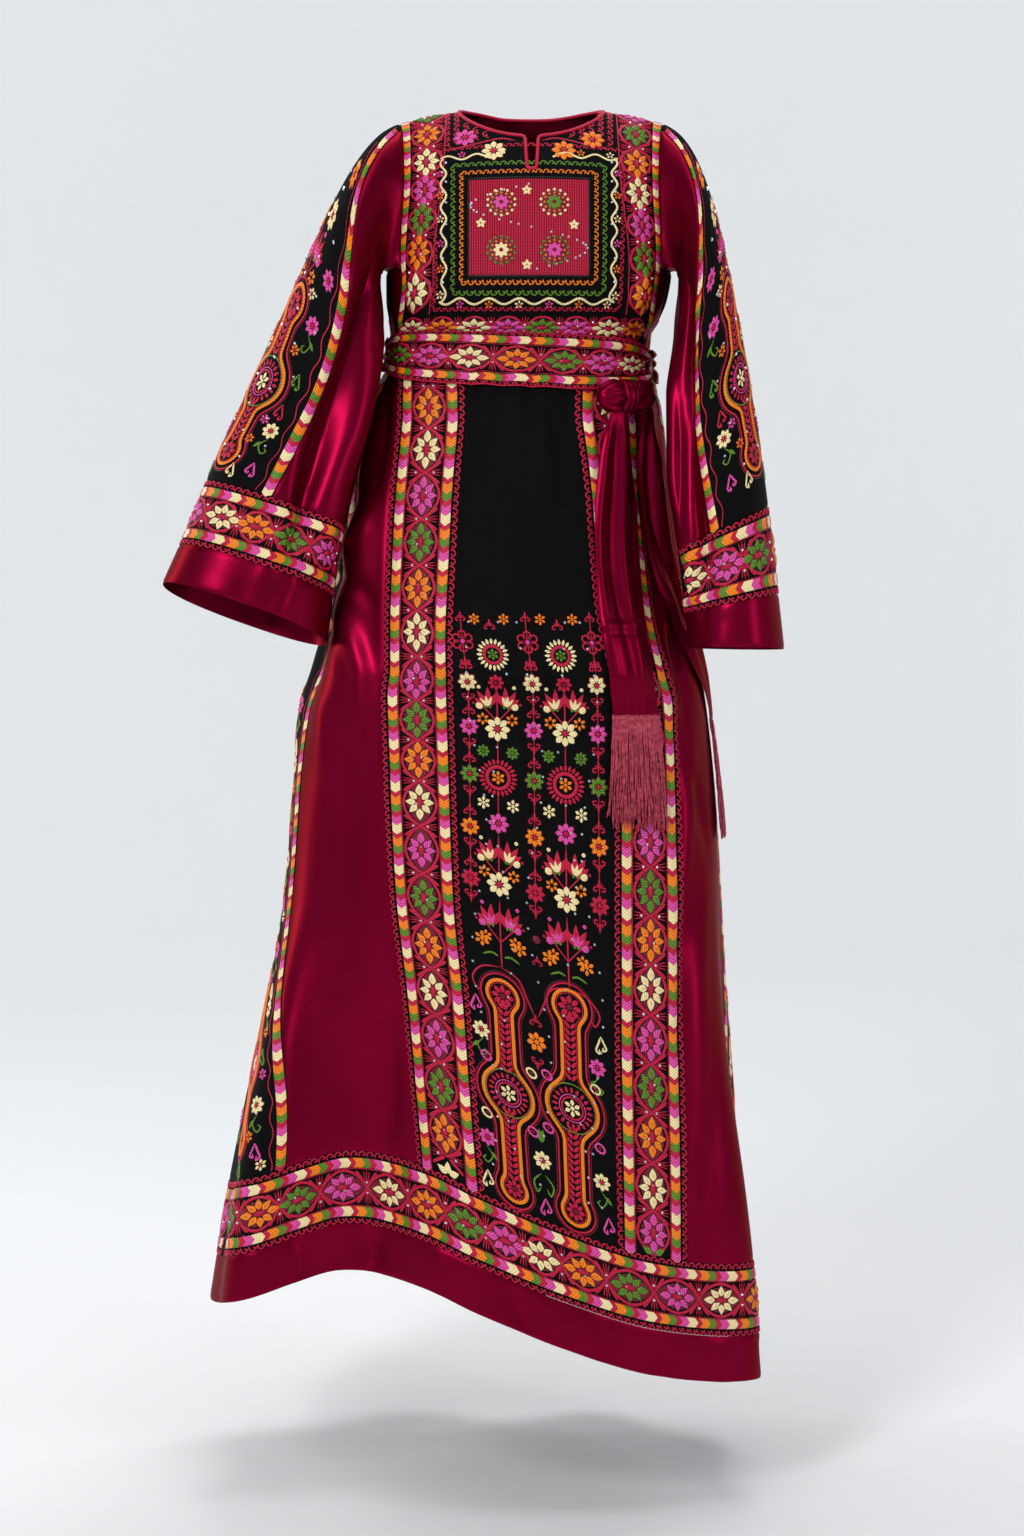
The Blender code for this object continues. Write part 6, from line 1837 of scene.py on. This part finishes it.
def prism(outline, low, high, axis):
    # A closed prism of an outline, along Z or along Y.
    count = len(outline)
    points = [(x, y, at) if axis == "z" else (x, at, y) for at in (low, high) for x, y in outline]
    faces = [tuple(range(count))[::-1], tuple(range(count, 2 * count))]
    faces += [(i, (i + 1) % count, count + (i + 1) % count, count + i) for i in range(count)]
    mesh = bpy.data.meshes.new("cutter")
    mesh.from_pydata(points, [], faces)
    shape = bmesh.new()
    shape.from_mesh(mesh)
    bmesh.ops.recalc_face_normals(shape, faces=shape.faces)
    shape.to_mesh(mesh)
    shape.free()
    made = bpy.data.objects.new("cutter", mesh)
    bpy.context.scene.collection.objects.link(made)
    return made


def cutAway(made, cutter):
    # The piece without what lies in the cutter, which is used up.
    step = made.modifiers.new("cut", "BOOLEAN")
    step.operation, step.solver, step.object = "DIFFERENCE", "EXACT", cutter
    bpy.context.view_layer.update()
    whole = bpy.data.meshes.new_from_object(made.evaluated_get(bpy.context.evaluated_depsgraph_get()))
    made.modifiers.clear()
    old = made.data
    made.data = whole
    bpy.data.meshes.remove(old)
    bpy.data.objects.remove(cutter)


def makeNeck():
    # The neck's oval, half cos and deep sin, and the slit are cut out of the cloth and bound.
    middle, deep = (neck["front"] + neck["back"]) / 2, (neck["back"] - neck["front"]) / 2
    turn = np.linspace(0, 2 * math.pi, 120, endpoint=False)
    oval = np.stack([neck["half"] * np.cos(turn), middle + deep * np.sin(turn)], 1)
    graph = bpy.context.evaluated_depsgraph_get()
    trees = [BVHTree.FromObject(panels[name], graph) for name in ("chest", "backBodice")]

    def above(x, y):
        hits = [tree.ray_cast(Vector((x, y, 0.1)), Vector((0, 0, -1)))[0] for tree in trees]
        return max((hit for hit in hits if hit), key=lambda hit: hit.z, default=None)

    def ahead(x, z):
        return trees[0].ray_cast(Vector((x, -0.5, z)), Vector((0, 1, 0)))[0]

    # The binding runs round the oval from one side of the slit to the other, and down its sides.
    start = math.asin(neck["slitTop"] / neck["half"])
    arc = np.linspace(-math.pi / 2 + start, 1.5 * math.pi - start, 150)
    line = [above(neck["half"] * math.cos(a), middle + deep * math.sin(a)) for a in arc]
    top = line[-1].z
    wide, narrow, low = neck["slitTop"], neck["slitFoot"], neck["slitZ"]
    halfAt = lambda z: narrow + (wide - narrow) * (z - low) / (top - low)
    sideLine = [ahead(-halfAt(z), z) for z in np.linspace(top - 0.003, low, 14)]
    across = [ahead(x, low) for x in np.linspace(-narrow, narrow, 6)[1:-1]]
    otherLine = [ahead(halfAt(z), z) for z in np.linspace(low, top - 0.003, 14)]
    loop = np.array([tuple(p) for p in line + sideLine + across + otherLine if p is not None])
    for _ in range(2):
        loop = (np.roll(loop, 1, axis=0) + 2 * loop + np.roll(loop, -1, axis=0)) / 4
    along = np.roll(loop, -1, axis=0) - np.roll(loop, 1, axis=0)
    along /= np.linalg.norm(along, axis=1, keepdims=True)
    up = np.where(np.arange(len(loop))[:, None] < len(line), [[0.0, 0.0, 1.0]], [[0.0, -1.0, 0.0]])
    side = np.cross(along, up)
    side /= np.linalg.norm(side, axis=1, keepdims=True)
    up = np.cross(side, along)
    angle = np.linspace(0, 2 * math.pi, 10, endpoint=False)
    section = np.cos(angle)[:, None] * side[:, None] + np.sin(angle)[:, None] * up[:, None]
    points = loop[:, None] + neck["binding"] * section
    uv = np.stack([np.repeat(lengthsAlong(loop), 10), np.tile(angle * neck["binding"], len(loop))], 1)
    faces = gridFaces(len(loop), 10, True, True)
    binding = meshObject("neck_binding", points, faces, [threads["crimson"]], None, uv, 0)
    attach(binding, "root")
    stitched.setdefault("chest", []).append(binding)
    slit = [(-narrow, low), (narrow, low), (wide, 0.02), (-wide, 0.02)]
    for name in ("chest", "backBodice"):
        cutAway(panels[name], prism(oval, -0.10, 0.05, "z"))
    cutAway(panels["chest"], prism(slit, -0.20, -0.02, "y"))


makeNeck()
print("neck")


def declareSheets():
    # The flat size that each piece of cloth was cut to is read, less half the neck's oval where it is cut
    # out; nothing is done with it.
    for name, piece in panels.items():
        if "flatWidth" not in piece:
            continue
        width, length, area = piece["flatWidth"], piece["flatLength"], piece["flatArea"]
        if name in ("chest", "backBodice"):
            area -= 0.0064  # half the neck's oval


declareSheets()
print("sheets")


studio = {
    "paper": ("#EEF0F2", "#F4F5F6"), "air": "#E9EDF2", "floorZ": -1.465, "airLevel": 0.16, "wall": 6.6,
    "bend": 2.6, "top": 5.6,
    # Name, place, aim, width, height, watts.
    "lights": (
        ("keyLight", (-1.7, -3.4, 1.5), (0, 0, -0.55), 0.9, 2.0, 78),
        ("fillLight", (2.8, -2.4, 0.4), (0, 0, -0.7), 0.6, 2.2, 20),
        ("topLight", (0.2, 0.9, 2.6), (0, 0, -0.5), 1.6, 1.2, 34),
        ("edgeLight", (-2.6, 0.8, 0.2), (0, 0, -0.6), 0.7, 2.2, 20),
        ("wallLightLeft", (-3.8, 3.0, 3.2), (-1.2, 6.6, 0.2), 2.4, 2.4, 84),
        ("wallLightRight", (3.8, 3.0, 3.2), (1.2, 6.6, 0.2), 2.4, 2.4, 66),
        ("floorLight", (0.0, -1.2, 3.4), (0, 0.6, -1.47), 2.6, 1.4, 34),
    ),
}


def makeStage():
    # A seamless pale studio: a round floor that bends up into a wall on all sides. It is a
    # profile of radius and level turned round: (radius sin a, radius cos a, level).
    scene = bpy.context.scene
    turn = np.linspace(0, math.pi / 2, 20)
    bend, wall = studio["bend"], studio["wall"]
    radius = np.concatenate([[0.0002, 2.0], wall - bend * (1 - np.sin(turn)), [wall]])[:, None]
    level = np.concatenate([[0.0, 0.0], bend * (1 - np.cos(turn)), [studio["top"]]])[:, None]
    angle = np.linspace(0, 2 * math.pi, 96, endpoint=False)
    height = level + studio["floorZ"] + 0 * angle
    points = np.stack([radius * np.sin(angle), radius * np.cos(angle), height], 2)
    material, tree, shader = newMaterial("palePaperSweep", Roughness=0.9, Specular_IOR_Level=0.1)
    place = addNode(tree, "ShaderNodeTexCoord")
    cloud = addNode(tree, "ShaderNodeTexNoise", None, {"Vector": (place, "Object")}, Scale=0.7)
    tone = addNode(tree, "ShaderNodeValToRGB", None, {"Fac": (cloud, "Fac")})
    for stop, shade in zip(tone.color_ramp.elements, studio["paper"]):
        stop.color = linear(shade)
    tree.links.new(tone.outputs["Color"], shader.inputs["Base Color"])
    faces = gridFaces(len(radius), len(angle), False, True)
    meshObject("studioSweep", points, faces, [material], None, None, 0)
    world = bpy.data.worlds.new("studioAir")
    world.use_nodes = True
    air = world.node_tree.nodes["Background"]
    air.inputs["Color"].default_value = linear(studio["air"])
    air.inputs["Strength"].default_value = studio["airLevel"]
    scene.world = world
    scene.view_settings.view_transform = "Standard"
    for name, place, target, width, height, watts in studio["lights"]:
        lamp = bpy.data.lights.new(name, "AREA")
        lamp.shape, lamp.size, lamp.size_y, lamp.energy = "RECTANGLE", width, height, watts
        made = bpy.data.objects.new(name, lamp)
        made.location = place
        aim = Vector(target) - Vector(place)
        made.rotation_euler = aim.to_track_quat("-Z", "Y").to_euler()
        scene.collection.objects.link(made)


def makeCamera():
    # The photograph's view: level with the hips, from straight in front and 3.65 m away.
    view = {"target": (-0.0203, 0.0, -0.70), "distance": 3.65, "elevation": 5.0, "lens": 80.0}
    lens = bpy.data.cameras.new("camera")
    lens.lens, lens.sensor_width, lens.sensor_height = view["lens"], 36.0, 36.0
    lens.sensor_fit = "VERTICAL"
    camera = bpy.data.objects.new("camera", lens)
    angle = math.radians(view["elevation"])
    back = Vector((0, -math.cos(angle), math.sin(angle)))
    camera.location = Vector(view["target"]) + back * view["distance"]
    camera.rotation_euler = (-back).to_track_quat("-Z", "Y").to_euler()
    bpy.context.scene.collection.objects.link(camera)
    bpy.context.scene.camera = camera


makeStage()
makeCamera()
print("stage and camera")
